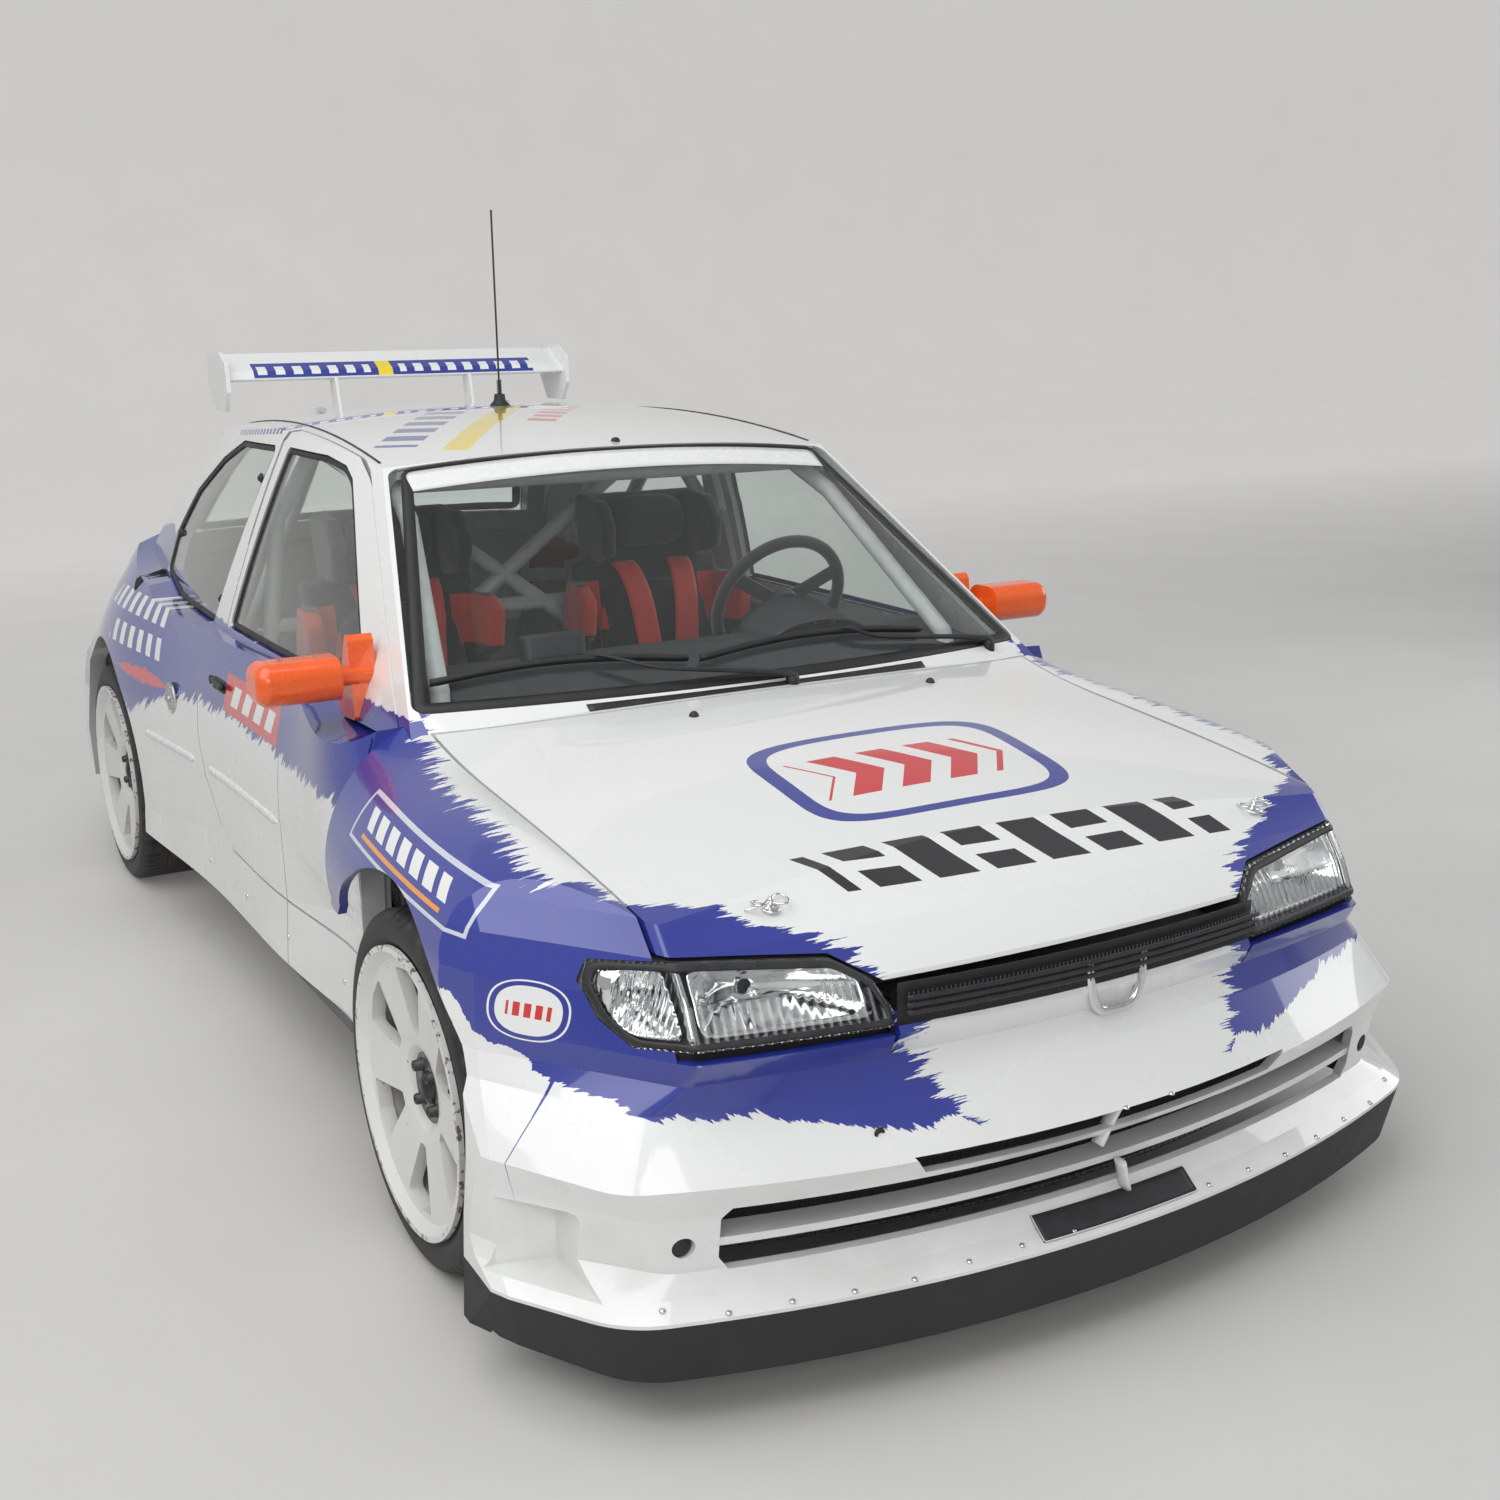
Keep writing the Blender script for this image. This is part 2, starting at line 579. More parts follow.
def rounded(points, radius, count, closed=True):
    """Evenly spaced points along a path whose corners turn on curves that start a radius before them."""
    corner = np.array(points, float)
    before, after = np.roll(corner, 1, 0) - corner, np.roll(corner, -1, 0) - corner
    far_b, far_a = np.linalg.norm(before, axis=1)[:, None], np.linalg.norm(after, axis=1)[:, None]
    reach_b, reach_a = np.minimum(radius, 0.45 * far_b), np.minimum(radius, 0.45 * far_a)
    if not closed:
        reach_b[[0, -1]] = reach_a[[0, -1]] = 0
    start, end = corner + before / far_b * reach_b, corner + after / far_a * reach_a
    t = np.linspace(0, 1, 9)[:, None, None]
    path = ((1 - t) ** 2 * start + 2 * t * (1 - t) * corner + t ** 2 * end).transpose(1, 0, 2)
    path = path.reshape(-1, corner.shape[1])
    if closed:
        path = np.concatenate([path, path[:1]], 0)
    walked = np.concatenate([[0], np.cumsum(np.linalg.norm(np.diff(path, axis=0), axis=1))])
    even = np.linspace(0, walked[-1], count, endpoint=not closed)
    return np.stack([np.interp(even, walked, path[:, k]) for k in range(path.shape[1])], 1)


def band(outline, inside, outside, columns=4):
    """A flat grid along a closed outline, from inside it to outside it, square to its run."""
    run = np.roll(outline, -1, 0) - np.roll(outline, 1, 0)
    area = np.sum(outline[:, 0] * np.roll(outline[:, 1], -1) - outline[:, 1] * np.roll(outline[:, 0], -1))
    square = np.stack([run[:, 1], -run[:, 0]], 1) / np.linalg.norm(run, axis=1)[:, None] * np.sign(area)
    inside = np.broadcast_to(inside, len(outline))
    offset = -inside[:, None] + (inside[:, None] + outside) * np.linspace(0, 1, columns)
    return outline[:, None, :] + square[:, None, :] * offset[..., None]


def crown(columns, low, high):
    """Heights across a strip that rise from its edges in a flattened half sine."""
    return low + (high - low) * np.sin(np.linspace(0, pi, columns)) ** 0.6


def fit(piece, body, material):
    """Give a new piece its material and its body."""
    piece.data.materials.clear()
    piece.data.materials.append(material)
    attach(piece, body)
    return piece


both_sides = ((1, "left"), (-1, "right"))
screen_foot, screen_head = (0.291, 0.889), (0.930, 1.335)
screen_lean = np.arctan2(screen_head[1] - screen_foot[1], screen_head[0] - screen_foot[0])
screen_outward = np.array((0, -np.sin(screen_lean), np.cos(screen_lean)))


def on_screen(u, v):
    """Points of the screen's plane, u across and v up it, dropped square to it onto the glass."""
    flat = np.stack([u, at(screen_foot[0]) + v * np.cos(screen_lean),
                     screen_foot[1] + v * np.sin(screen_lean)], -1)
    return onto(flat + 0.4 * screen_outward, "windscreen", -screen_outward)


bow = np.linspace(-1, 1, 41)
foot_half, head_half, foot_up, head_up, head_bow = 0.726, 0.553, 0.010, 0.779, 0.013
foot_edge = np.stack([foot_half * bow, foot_up + 0.082 * bow ** 2], 1)
head_edge = np.stack([head_half * bow[::-1], head_up + head_bow * bow ** 2], 1)
screen_edge = rounded(np.concatenate([foot_edge, head_edge])[::2], 0.03, 260)
seal_width = np.interp(screen_edge[:, 1], [0.08, 0.14, 0.72, 0.77], [0.03, 0.032, 0.026, 0.010])
seal = band(screen_edge, seal_width, -0.0015)
fit(strip("windscreen_seal", on_screen(seal[..., 0], seal[..., 1]), screen_outward, 0.0004,
          crown(4, 0.003, 0.0065), True), "shell", rubber)
film_top, film_foot = 0.011, 0.075
drop = np.linspace(film_top, film_foot, 5)[None, :]
u = np.linspace(-1, 1, 49)[:, None] * (0.522 + np.zeros((1, 5)))
u = u * (1 + (drop - film_top) * 0.43)
v = head_up + head_bow * (u / head_half) ** 2 - drop
fit(strip("sun_strip", on_screen(u, v), screen_outward, 0.0003, 0.0009), "shell", white_film)

side_windows = {
    "door_glass": [(0.668, 0.880), (0.700, 0.950), (0.990, 1.196), (1.090, 1.278), (1.150, 1.303),
                   (1.270, 1.318), (1.540, 1.322), (1.634, 0.882)],
    "quarter_glass": [(1.800, 0.868), (1.632, 1.320), (1.990, 1.312), (2.190, 1.256), (2.400, 1.155),
                      (2.515, 1.020), (2.508, 0.916), (2.255, 0.872)]}
for window, corners in side_windows.items():
    for side, hand in both_sides:
        flat = band(rounded(corners, 0.022, 200), 0.016, -0.0015)
        grid = np.stack([np.full(flat.shape[:2], side * 1.4), at(flat[..., 0]), flat[..., 1]], -1)
        pane, body = (window + "_" + hand, "door_" + hand) if window == "door_glass" else (window, "shell")
        grid = onto(grid, pane, (-side, 0, 0))
        fit(strip(window + "_seal_" + hand, grid, (side, 0, 0), 0.0004, crown(4, 0.002, 0.0055), True),
            body, rubber)
rear_corners = [(-0.548, 0.985), (0.548, 0.985), (0.452, 1.282), (-0.452, 1.282)]
flat = band(rounded(rear_corners, 0.04, 200), 0.028, -0.0025)
grid = np.stack([flat[..., 0], np.full(flat.shape[:2], at(3.4)), flat[..., 1]], -1)
grid = onto(grid, "rear_glass", (0, -1, 0))
fit(strip("rear_glass_seal", grid, (0, 1, 0), 0.0004, crown(4, 0.002, 0.0055), True),
    "tailgate", rubber)

# Headlamps
# A clear moulded lens over two bowls pressed from bright sheet, each with its bulb: a wide one and, at the
# outer end, a narrow one for the indicator, parted by a bright bar.  A black frame closes the rim.
lamp_line = [(0.372, 0.570), (0.690, 0.578), (0.748, 0.570), (0.778, 0.604), (0.792, 0.655), (0.776, 0.686),
             (0.690, 0.699), (0.440, 0.671), (0.388, 0.640), (0.366, 0.592)]
bright = grained("bright_reflector", (0.93, 0.93, 0.93, 1), (0.78, 0.78, 0.78, 1), 260, 0.05, 0.16,
                 bump=0.04, metallic=1.0)
chrome = grained("chrome", (0.86, 0.86, 0.87, 1), (0.62, 0.62, 0.64, 1), 120, 0.06, 0.2,
                 bump=0.03, metallic=1.0)
black_plastic = grained("black_plastic", (0.030, 0.030, 0.032, 1), (0.014, 0.014, 0.016, 1), 700, 0.38, 0.6)
dress(grained("lamp_tray", (0.05, 0.05, 0.052, 1), (0.02, 0.02, 0.022, 1), 500, 0.4, 0.6), ["headlamps"])


def wave(field, pitch):
    """Even ripples: the sine of a field times a pitch."""
    turned = field * pitch
    return turned.math("SINE", turned)


lens, tree, shader = new_material("ribbed_lens", transmission_weight=1.0, ior=1.42,
                                  base_color=(0.93, 0.95, 0.95, 1))
x, s, z, out = where(tree)
outer_part, clear_part = out > 0.692, oblong((z, 0.655, 0.02), (out, 0.56, 0.09))
wide_flutes = (1.0 - larger(outer_part, clear_part)) * wave(out, 420.0)
flutes = outer_part * wave(z * 0.35 + out, 950.0) + wide_flutes
set_shader(shader, (flutes, 0.55, 0.0012), alpha=1.0 - rays(tree, "Shadow") * 0.85,
           roughness=ramp(noise(tree, 30.0, 5.0), 0.4, 0.8, 0.01, 0.1))
dress(lens, ["headlamp_lenses"])


def front_face(x, z, target):
    """Points of the front view moved back onto a CAD node's front."""
    return onto(np.stack([x, np.full_like(x, at(-1.0)), z], -1), target, (0, 1, 0))


def bowl(name, rim, hole, hole_radius, depth, side):
    """A reflector: outlines shrink from the rim to the bulb hole while their depth grows as a parabola.
    The rim lies 9 mm behind the lens.  A second skin 1.5 mm behind closes it."""
    t = np.linspace(0, 1, 14)[:, None]
    turn = np.arctan2(rim[:, 1] - hole[1], rim[:, 0] - hole[0])[None, :]
    flat_x = rim[:, 0] * (1 - t) + (hole[0] + hole_radius * np.cos(turn)) * t
    flat_z = rim[:, 1] * (1 - t) + (hole[1] + hole_radius * np.sin(turn)) * t
    face = front_face(side * flat_x, flat_z, "headlamp_lenses")
    back = face[-1, :, 1].mean() + depth
    face[..., 1] = (face[..., 1] + 0.009) * (1 - t) ** 2 + back * (1 - (1 - t) ** 2)
    rear = face[::-1] + np.array((0, 0.0015, 0))
    return surface(name, np.concatenate([face, rear], 0), closed_across=True, closed_along=True)


def lathe(name, profile, centre, axis, sides=40):
    """A profile of (distance along the axis, radius) turned about the axis through the centre."""
    axis = np.array(axis, float) / np.linalg.norm(axis)
    first = np.cross(axis, (0, 0, 1) if abs(axis[2]) < 0.9 else (1, 0, 0))
    first /= np.linalg.norm(first)
    second = np.cross(axis, first)
    turn = np.linspace(0, 2 * pi, sides, endpoint=False)[None, :, None]
    far, radius = np.array(profile, float).T[..., None, None]
    rings = centre + far * axis + radius * (np.cos(turn) * first + np.sin(turn) * second)
    return surface(name, rings, closed_across=True)


def sweep_along(name, path, radius, sides=10, flat=1.0, up=(0.0, 0.0, 1.0), closed=False):
    """A bar along a path: ellipses square to its run, flat times as high as wide, its ends closed."""
    path = np.asarray(path, float)
    run = np.roll(path, -1, 0) - np.roll(path, 1, 0) if closed else np.gradient(path, axis=0)
    run /= np.linalg.norm(run, axis=1)[:, None]
    level = np.cross(run, up)
    level /= np.linalg.norm(level, axis=1)[:, None]
    above = np.cross(level, run)
    turn = np.linspace(0, 2 * pi, sides, endpoint=False)[None, :, None]
    radius = np.broadcast_to(radius, len(path))[:, None, None]
    rings = path[:, None] + radius * (np.cos(turn) * level[:, None] + flat * np.sin(turn) * above[:, None])
    if not closed:
        ends = np.repeat(path[[0, -1], None], sides, 1)
        rings = np.concatenate([ends[:1], rings, ends[1:]], 0)
    return surface(name, rings, closed_across=True, closed_along=closed)


def join(name, pieces):
    """One piece made of several."""
    work = bmesh.new()
    for piece in pieces:
        work.from_mesh(piece.data)
        bpy.data.objects.remove(piece)
    mesh = bpy.data.meshes.new(name)
    work.to_mesh(mesh)
    work.free()
    mesh.shade_smooth()
    return placed(name, mesh)


for side, hand in both_sides:
    main = rounded([(0.394, 0.586), (0.672, 0.592), (0.672, 0.686), (0.450, 0.662), (0.398, 0.636)],
                   0.02, 72)
    turn_lamp = rounded([(0.694, 0.590), (0.744, 0.584), (0.768, 0.612), (0.779, 0.656), (0.768, 0.678),
                         (0.700, 0.687)], 0.012, 72)
    for name, rim, hole, hole_radius, depth in (
            ("main_reflector_", main, (0.565, 0.634), 0.012, 0.066),
            ("indicator_reflector_", turn_lamp, (0.727, 0.636), 0.009, 0.05)):
        fit(bowl(name + hand, rim, hole, hole_radius, depth, side), "shell", bright)
    bar_z = np.linspace(0.586, 0.688, 12)
    bar = front_face(np.full_like(bar_z, side * 0.683), bar_z, "headlamp_lenses") + np.array((0, 0.0125, 0))
    fit(sweep_along("lamp_divider_" + hand, bar, 0.0065, 10, 0.9, (0, 1, 0)),
        "shell", chrome)
    ring = band(rounded(lamp_line, 0.016, 150), 0.0125, -0.0035)
    grid = front_face(side * ring[..., 0], ring[..., 1], "headlamp_lenses")
    fit(strip("lamp_frame_" + hand, grid, (0, -1, 0), 0.0003, crown(4, 0.0012, 0.003), True),
        "shell", black_plastic)
    for name, place, radius in (("headlamp_bulb_", (0.565, 0.634), 0.008),
                                ("indicator_bulb_", (0.727, 0.636), 0.007)):
        tip = front_face(np.array([[side * place[0]]]), np.array([[place[1]]]), "headlamp_lenses")[0, 0]
        shape = [(0.0, 0.0), (0.002, 0.6 * radius), (0.007, radius), (0.018, radius), (0.024, 0.7 * radius),
                 (0.036, 0.7 * radius), (0.036, 0.0)]
        fit(lathe(name + hand, shape, tip + np.array((0, 0.024, 0)), (0, 1, 0), 20),
            "shell", bright)

# Tail lamps
# Moulded red plastic with a ribbed inner face; an amber and a clear field take the outer end, and black
# joints part them.  Each lamp is set into a rear corner of the body.
tail, tree, shader = new_material("tail_lens", coat_weight=1.0, coat_roughness=0.05)
x, s, z, out = where(tree)
ribs = wave(x, 700.0) * wave(z, 700.0)
lit = ramp(ribs, -1.0, 1.0)
red = tint(lit, (0.16, 0.006, 0.006, 1), (0.42, 0.02, 0.015, 1))
amber = tint(lit, (0.45, 0.12, 0.01, 1), (0.7, 0.24, 0.02, 1))
pale = tint(lit, (0.45, 0.45, 0.45, 1), (0.75, 0.74, 0.72, 1))
joints = larger(near(z, 0.832, 0.0025), near(z, 0.76, 0.0025))
set_shader(shader, (ribs, 0.3, 0.0006), roughness=lit * 0.15 + 0.1, base_color=laid_over(
    red, (z > 0.832, amber), (near(z, 0.732, 0.026), pale), (joints, INK)))
dress(tail, ["tail_lamps"])

# Nose and bonnet fittings
# Black louvres fill the slot between the lamps, with a bare chrome frame before them.  Struts stand in the
# intakes, rivets hold the splitter, and sprung wire pins hold the bonnet down.
shadow_black = grained("unlit_black", (0.012, 0.012, 0.013, 1), (0.006, 0.006, 0.007, 1), 400, 0.6, 0.8)


def grille_y(x, station):
    """Y across the slot between the lamps: the station at its middle, 26 mm further back at its ends."""
    return at(station + 0.026 * (x / 0.365) ** 2)


def intake_y(x, station):
    """Y across the bumper's intakes: the station at their middle, 120 mm further back 660 mm out."""
    return at(station + 0.12 * (x / 0.66) ** 2)


def backing(name, half, low, high, curve, station, columns, thickness):
    """An unlit wall that closes the view through an opening of the nose."""
    x = np.linspace(-half, half, 40)[:, None] + np.zeros((1, columns))
    wall = np.stack([x, curve(x, station), np.linspace(low, high, columns)[None, :] + 0 * x], -1)
    fit(strip(name, wall, (0, 1, 0), 0.0, thickness), "shell", shadow_black)


for number, height in enumerate((0.598, 0.610, 0.622)):
    x = np.linspace(-0.365, 0.365, 60)
    slat = np.stack([x, grille_y(x, -0.742), np.full_like(x, height)], -1)
    fit(sweep_along("grille_louvre_%d" % (number + 1), slat, 0.0022, 8, 2.0),
        "shell", black_plastic)
teeth = []
for x in np.linspace(-0.36, 0.36, 91):
    line = [(x, grille_y(x, -0.738), 0.588), (x, grille_y(x, -0.738), 0.630)]
    teeth.append(sweep_along("tooth", line, 0.0014, 4, up=(0, 1, 0)))
fit(join("grille_teeth", teeth), "shell", black_plastic)
backing("grille_backing", 0.368, 0.572, 0.640, grille_y, -0.722, 6, 0.003)

badge_x, badge_height = 0.047, 0.569
badge = rounded([(-0.058, 0.042), (-0.054, -0.012), (-0.036, -0.048), (0.036, -0.048), (0.054, -0.012),
                 (0.058, 0.042)], 0.02, 80, closed=False)
bar_face = front_face(badge_x + badge[:, 0], np.full(len(badge), 0.550), "grille_bar")
badge_y = bar_face[:, 1] - 0.004 + 0.12 * np.maximum(badge[:, 1], 0)
frame_line = np.stack([bar_face[:, 0], badge_y, badge_height + badge[:, 1]], -1)
fit(sweep_along("badge_frame", frame_line, 0.0085, 12, 0.8, (0, 1, 0)), "shell", chrome)

for side, hand in both_sides:
    x = side * np.linspace(0.372, 0.748, 40)[:, None] + np.zeros((1, 4))
    z = np.linspace(0.550, 0.574, 4)[None, :] + 0 * x
    under = front_face(x, np.full_like(z, 0.540), "front_bumper")
    under[..., 2] = z
    under[..., 1] += 0.016
    fit(strip("lamp_gap_closing_" + hand, under, (0, 1, 0), 0.0, 0.003), "shell", shadow_black)
    pod_x, pod_height = side * 0.722, 0.282
    pod_y = front_face(np.array([[pod_x]]), np.array([[pod_height + 0.024]]), "front_bumper")[0, 0, 1]
    plug = [(0.0, 0.0), (0.001, 0.0135), (0.004, 0.0160), (0.028, 0.0160), (0.03, 0.0)]
    fit(lathe("lamp_socket_plug_" + hand, plug, (pod_x, pod_y + 0.006, pod_height), (0, 1, 0), 32),
        "shell", rubber)

# Intakes: struts across both openings, a fine dark mesh and an unlit wall behind them
struts = []
for (x0, z0), (x1, z1) in (((0.017, 0.392), (-0.014, 0.350)), ((-0.014, 0.348), (-0.030, 0.322)),
                           ((0.020, 0.280), (0.034, 0.228))):
    t = np.linspace(0, 1, 6)
    line = np.stack([x0 + (x1 - x0) * t, np.full_like(t, at(-0.775)), z0 + (z1 - z0) * t], -1)
    struts.append(sweep_along("strut", line, 0.006, 8, 2.4, (0, 1, 0)))
fit(join("intake_struts", struts), "shell", white_film)
wires = []
for low, high, half, station in ((0.352, 0.392, 0.37, -0.738), (0.232, 0.346, 0.66, -0.712)):
    for x in np.arange(-half, half, 0.0145):
        y = intake_y(x, station)
        wires.append(sweep_along("wire", [(x, y, low), (x + 0.02, y, high)], 0.0009, 4))
    x = np.linspace(-half, half, 24)
    for z in np.arange(low, high, 0.0125):
        wires.append(sweep_along("wire", np.stack([x, intake_y(x, station), 0 * x + z], -1), 0.0009, 4))
fit(join("intake_mesh", wires), "shell", black_plastic)
backing("upper_intake_dark", 0.372, 0.350, 0.394, intake_y, -0.726, 5, 0.002)
backing("lower_intake_dark", 0.662, 0.230, 0.348, intake_y, -0.700, 5, 0.002)


def top_face(x, station, target):
    """Points of the plan view dropped onto a CAD node's top."""
    return onto(np.stack([x, at(station) + 0 * x, np.full_like(x, 2.0)], -1), target, (0, 0, -1))


# Rivets along the splitter's shelf, and the bare black number plate on it
shelf = rounded([(-0.770, -0.675), (-0.725, -0.707), (-0.420, -0.782), (-0.057, -0.806), (0.230, -0.800),
                 (0.432, -0.780), (0.725, -0.707), (0.770, -0.675)], 0.05, 17, closed=False)
rivet = [(-0.001, 0.0), (-0.001, 0.006), (0.0008, 0.0058), (0.0026, 0.0036), (0.003, 0.0)]
rivets = [lathe("rivet", rivet, head, (0, 0, 1), 12) for head in top_face(*shelf.T, "front_bumper")]
fit(join("splitter_rivets", rivets), "shell", chrome)
t = np.linspace(0, 1, 30)[:, None]
rise = np.linspace(0, 1, 6)[None, :]
plate = front_face((-0.160 + 0.326 * t) + rise * 0.004, 0.198 + rise * 0.026 + 0 * t, "front_bumper")
plate[..., 1] = plate[:, :1, 1] * (1 - rise) + (plate[:, :1, 1] + 0.042) * rise
fit(strip("blank_plate", plate, (0, -0.6, 0.8), 0.0006, 0.0026), "shell", black_plastic)
edge = rounded(np.concatenate([plate[:, 0], plate[::-1, -1]]) + np.array((0, -0.002, 0.0026)), 0.003, 160)
fit(sweep_along("plate_edge", edge, 0.0009, 6, closed=True), "shell", white_film)

# Tow hole in the bumper and its ring
hole = front_face(np.array([[-0.425]]), np.array([[0.424]]), "front_bumper")[0, 0]
ring = [(0.0, 0.0), (-0.0008, 0.004), (-0.0022, 0.0060), (-0.0016, 0.0085), (0.001, 0.0095), (0.003, 0.0)]
fit(lathe("tow_hole_ring", ring, hole, (0, 1, 0), 24), "shell", rubber)

# Bonnet pins: a post through a plate, and a sprung wire bent into two loops and a tail
post = [(-0.003, 0.0), (-0.003, 0.017), (0.0006, 0.0165), (0.0018, 0.014), (0.0018, 0.0055), (0.015, 0.005),
        (0.018, 0.003), (0.0185, 0.0)]
jet = [(-0.002, 0.0), (-0.002, 0.010), (0.002, 0.0098), (0.006, 0.0075), (0.009, 0.004), (0.0095, 0.0)]
for side, hand, (pin_x, pin_station), (jet_x, jet_station) in (
        (-1, "right", (-0.494, -0.530), (-0.234, 0.187)), (1, "left", (0.533, -0.530), (0.344, 0.210))):
    seat = top_face(np.array([pin_x]), pin_station, "bonnet")[0]
    turn = np.linspace(0, 2 * pi, 90)
    eight = 0.013 * np.sin(2 * turn)
    loops = seat + np.stack([0.031 * np.cos(turn), eight, 0.011 + 0.003 * np.sin(turn) + 0.12 * eight], -1)
    end = seat + np.stack([side * np.linspace(0.0, 0.046, 20), -0.008 * np.sin(np.linspace(0, pi, 20)),
                           np.linspace(0.015, 0.004, 20)], -1)
    pin = [lathe("post", post, seat, (0, -0.12, 1), 24), sweep_along("loops", loops, 0.0019, 8, closed=True),
           sweep_along("tail", end, 0.0019, 8)]
    fit(join("bonnet_pin_" + hand, pin), "bonnet", chrome)
    foot = top_face(np.array([jet_x]), jet_station, "bonnet")[0]
    fit(lathe("washer_jet_" + hand, jet, foot, (0, -0.1, 1), 20), "bonnet", black_plastic)

# Wipers
# Two spring-loaded steel arms, painted black, each with a rubber blade hooked on, parked at the foot of the
# screen.  Each arm turns on a capped pivot that stands on the scuttle.
cap = [(-0.012, 0.0), (-0.012, 0.015), (0.012, 0.014), (0.021, 0.010), (0.023, 0.0)]
for number, pivot, elbow_x, hook_x, left, right in (
        (1, (0.050, 0.284), -0.235, -0.334, (-0.671, 0.452), (-0.149, 0.372)),
        (2, (0.622, 0.372), 0.314, 0.241, (-0.124, 0.366), (0.453, 0.404))):
    t = np.linspace(0, 1, 40)
    x = left[0] + (right[0] - left[0]) * t
    station = left[1] + (right[1] - left[1]) * t + 0.012 * np.sin(pi * t)
    base = onto(np.stack([x, at(station), np.full_like(x, 1.8)], -1), "windscreen", (0, 0, -1))
    base[:, 2] = np.convolve(np.pad(base[:, 2], 3, "edge"), np.ones(7) / 7, "valid")
    lip = sweep_along("lip", base + screen_outward * 0.006, 0.0022, 8, 2.2, screen_outward)
    spine = sweep_along("spine", base + screen_outward * 0.015, 0.0070, 8, 0.7, screen_outward)
    fit(join("wiper_blade_%d" % number, [lip, spine]), "shell", rubber)
    hook = base[np.argmin(abs(base[:, 0] - hook_x))]
    foot = top_face(pivot[0] + np.linspace(-0.01, 0.01, 5), pivot[1], "scuttle")[2]
    elbow = (foot + hook) / 2
    elbow[0] = elbow_x
    path = rounded([foot + (0, 0, 0.018), foot * 0.75 + elbow * 0.25 + (0, 0, 0.022),
                    elbow + screen_outward * 0.028, hook + screen_outward * 0.024,
                    hook + screen_outward * 0.017], 0.03, 60, closed=False)
    arm_radius = np.interp(np.linspace(0, 1, 60), [0, 0.3, 1], [0.012, 0.009, 0.006])
    arm = sweep_along("arm", path, arm_radius, 8, 0.6)
    fit(join("wiper_arm_%d" % number, [arm, lathe("cap", cap, foot, (0, 0, 1), 24)]),
        "shell", black_plastic)

# Mirrors
# Moulded plastic in bright orange; each head holds a flat silvered glass facing back and turns with its
# door, whose corner it is screwed to.
mirror_plastic = grained("mirror_orange", (0.95, 0.135, 0.012, 1), (0.84, 0.10, 0.010, 1), 90, 0.22, 0.34,
                         bump=0.03, coat_weight=0.6, coat_roughness=0.05)
dress(mirror_plastic, ["mirror_left", "mirror_right"])
silvered = grained("silvered_glass", (0.80, 0.82, 0.84, 1), (0.70, 0.72, 0.74, 1), 6, 0.01, 0.05,
                   bump=0.0, metallic=1.0)


def filled(corners, radius, rings=4):
    """A flat grid inside a rounded outline: rings shrink from its edge to its middle."""
    edge = rounded(corners, radius, 60)
    return edge.mean(0) + (edge - edge.mean(0)) * np.linspace(1, 0, rings)[:, None, None]


flat = filled([(0.818, 0.900), (0.945, 0.900), (0.945, 0.972), (0.818, 0.972)], 0.024, 5)
back_of_head = at(0.6845)
for side, hand in both_sides:
    face = np.stack([side * flat[..., 0], back_of_head + 0.0008 + 0 * flat[..., 0], flat[..., 1]], -1)
    skin = np.concatenate([face[::-1], face - (0, 0.004, 0)], 0)
    fit(surface("mirror_glass_" + hand, skin, closed_across=True), "door_" + hand, silvered)

# Wheels and brakes
# Cast alloy in white paint, dusty inside the barrel and chipped at the edge, each over a rusty iron disc.
# Four bolts in a recessed hub hold it, and a dark cap closes the middle.
axle_height, wheelbase = 0.320, 2.580
front_hub_face, rear_hub_face = 0.919, 0.893


def length(across, up):
    """How far a point is from nought, given its two distances."""
    total = across * across + up * up
    return total.math("SQRT", total)


def round_hub(s, z):
    """A mask that is on in the car's rear half, and the distance from the nearer hub line."""
    rear = s > wheelbase / 2
    return rear, length(s - rear * wheelbase, z - axle_height)


wheel_material, tree, shader = new_material("wheel_paint", coat_weight=0.35, coat_roughness=0.12)
x, s, z, out = where(tree)
rear, radius = round_hub(s, z)
depth_in = rear * (rear_hub_face - front_hub_face) + front_hub_face - out
spots, stain = noise(tree, 55.0, 6.0, 0.7), noise(tree, 12.0, 6.0, 0.6)
dirt = ramp(depth_in, 0.035, 0.09, 0.10, 0.95) * (stain * 0.8 + 0.45)
chips = every(radius > 0.2495, spots > 0.565, depth_in < 0.012)
scuffs = every(spots > 0.69, depth_in < 0.05)
recess = every(radius < 0.0635, depth_in > 0.044)
disc = every(depth_in > 0.0955, radius < 0.168)
rust = tint(stain, (0.10, 0.035, 0.018, 1), (0.26, 0.11, 0.055, 1))
swept = tint(spots, (0.20, 0.11, 0.07, 1), (0.34, 0.25, 0.19, 1))
colour = laid_over(tint(dirt, (0.78, 0.78, 0.76, 1), (0.10, 0.085, 0.07, 1)),
                   (larger(chips, scuffs), (0.16, 0.15, 0.14, 1)), (recess, (0.09, 0.085, 0.08, 1)),
                   (disc, tint(near(radius, 0.128, 0.030), rust, swept)))
set_shader(shader, (disc * wave(radius, 2600.0) * 0.4 + spots, 0.12, 0.0008), base_color=colour,
           metallic=disc * 0.65, roughness=disc * 0.16 + (stain * 0.25 + 0.24))
dress(wheel_material, ["wheel_front_left", "wheel_front_right", "wheel_rear_left", "wheel_rear_right"])
dark_steel = grained("dark_steel", (0.10, 0.10, 0.105, 1), (0.045, 0.043, 0.042, 1), 160, 0.32, 0.55,
                     metallic=0.85)

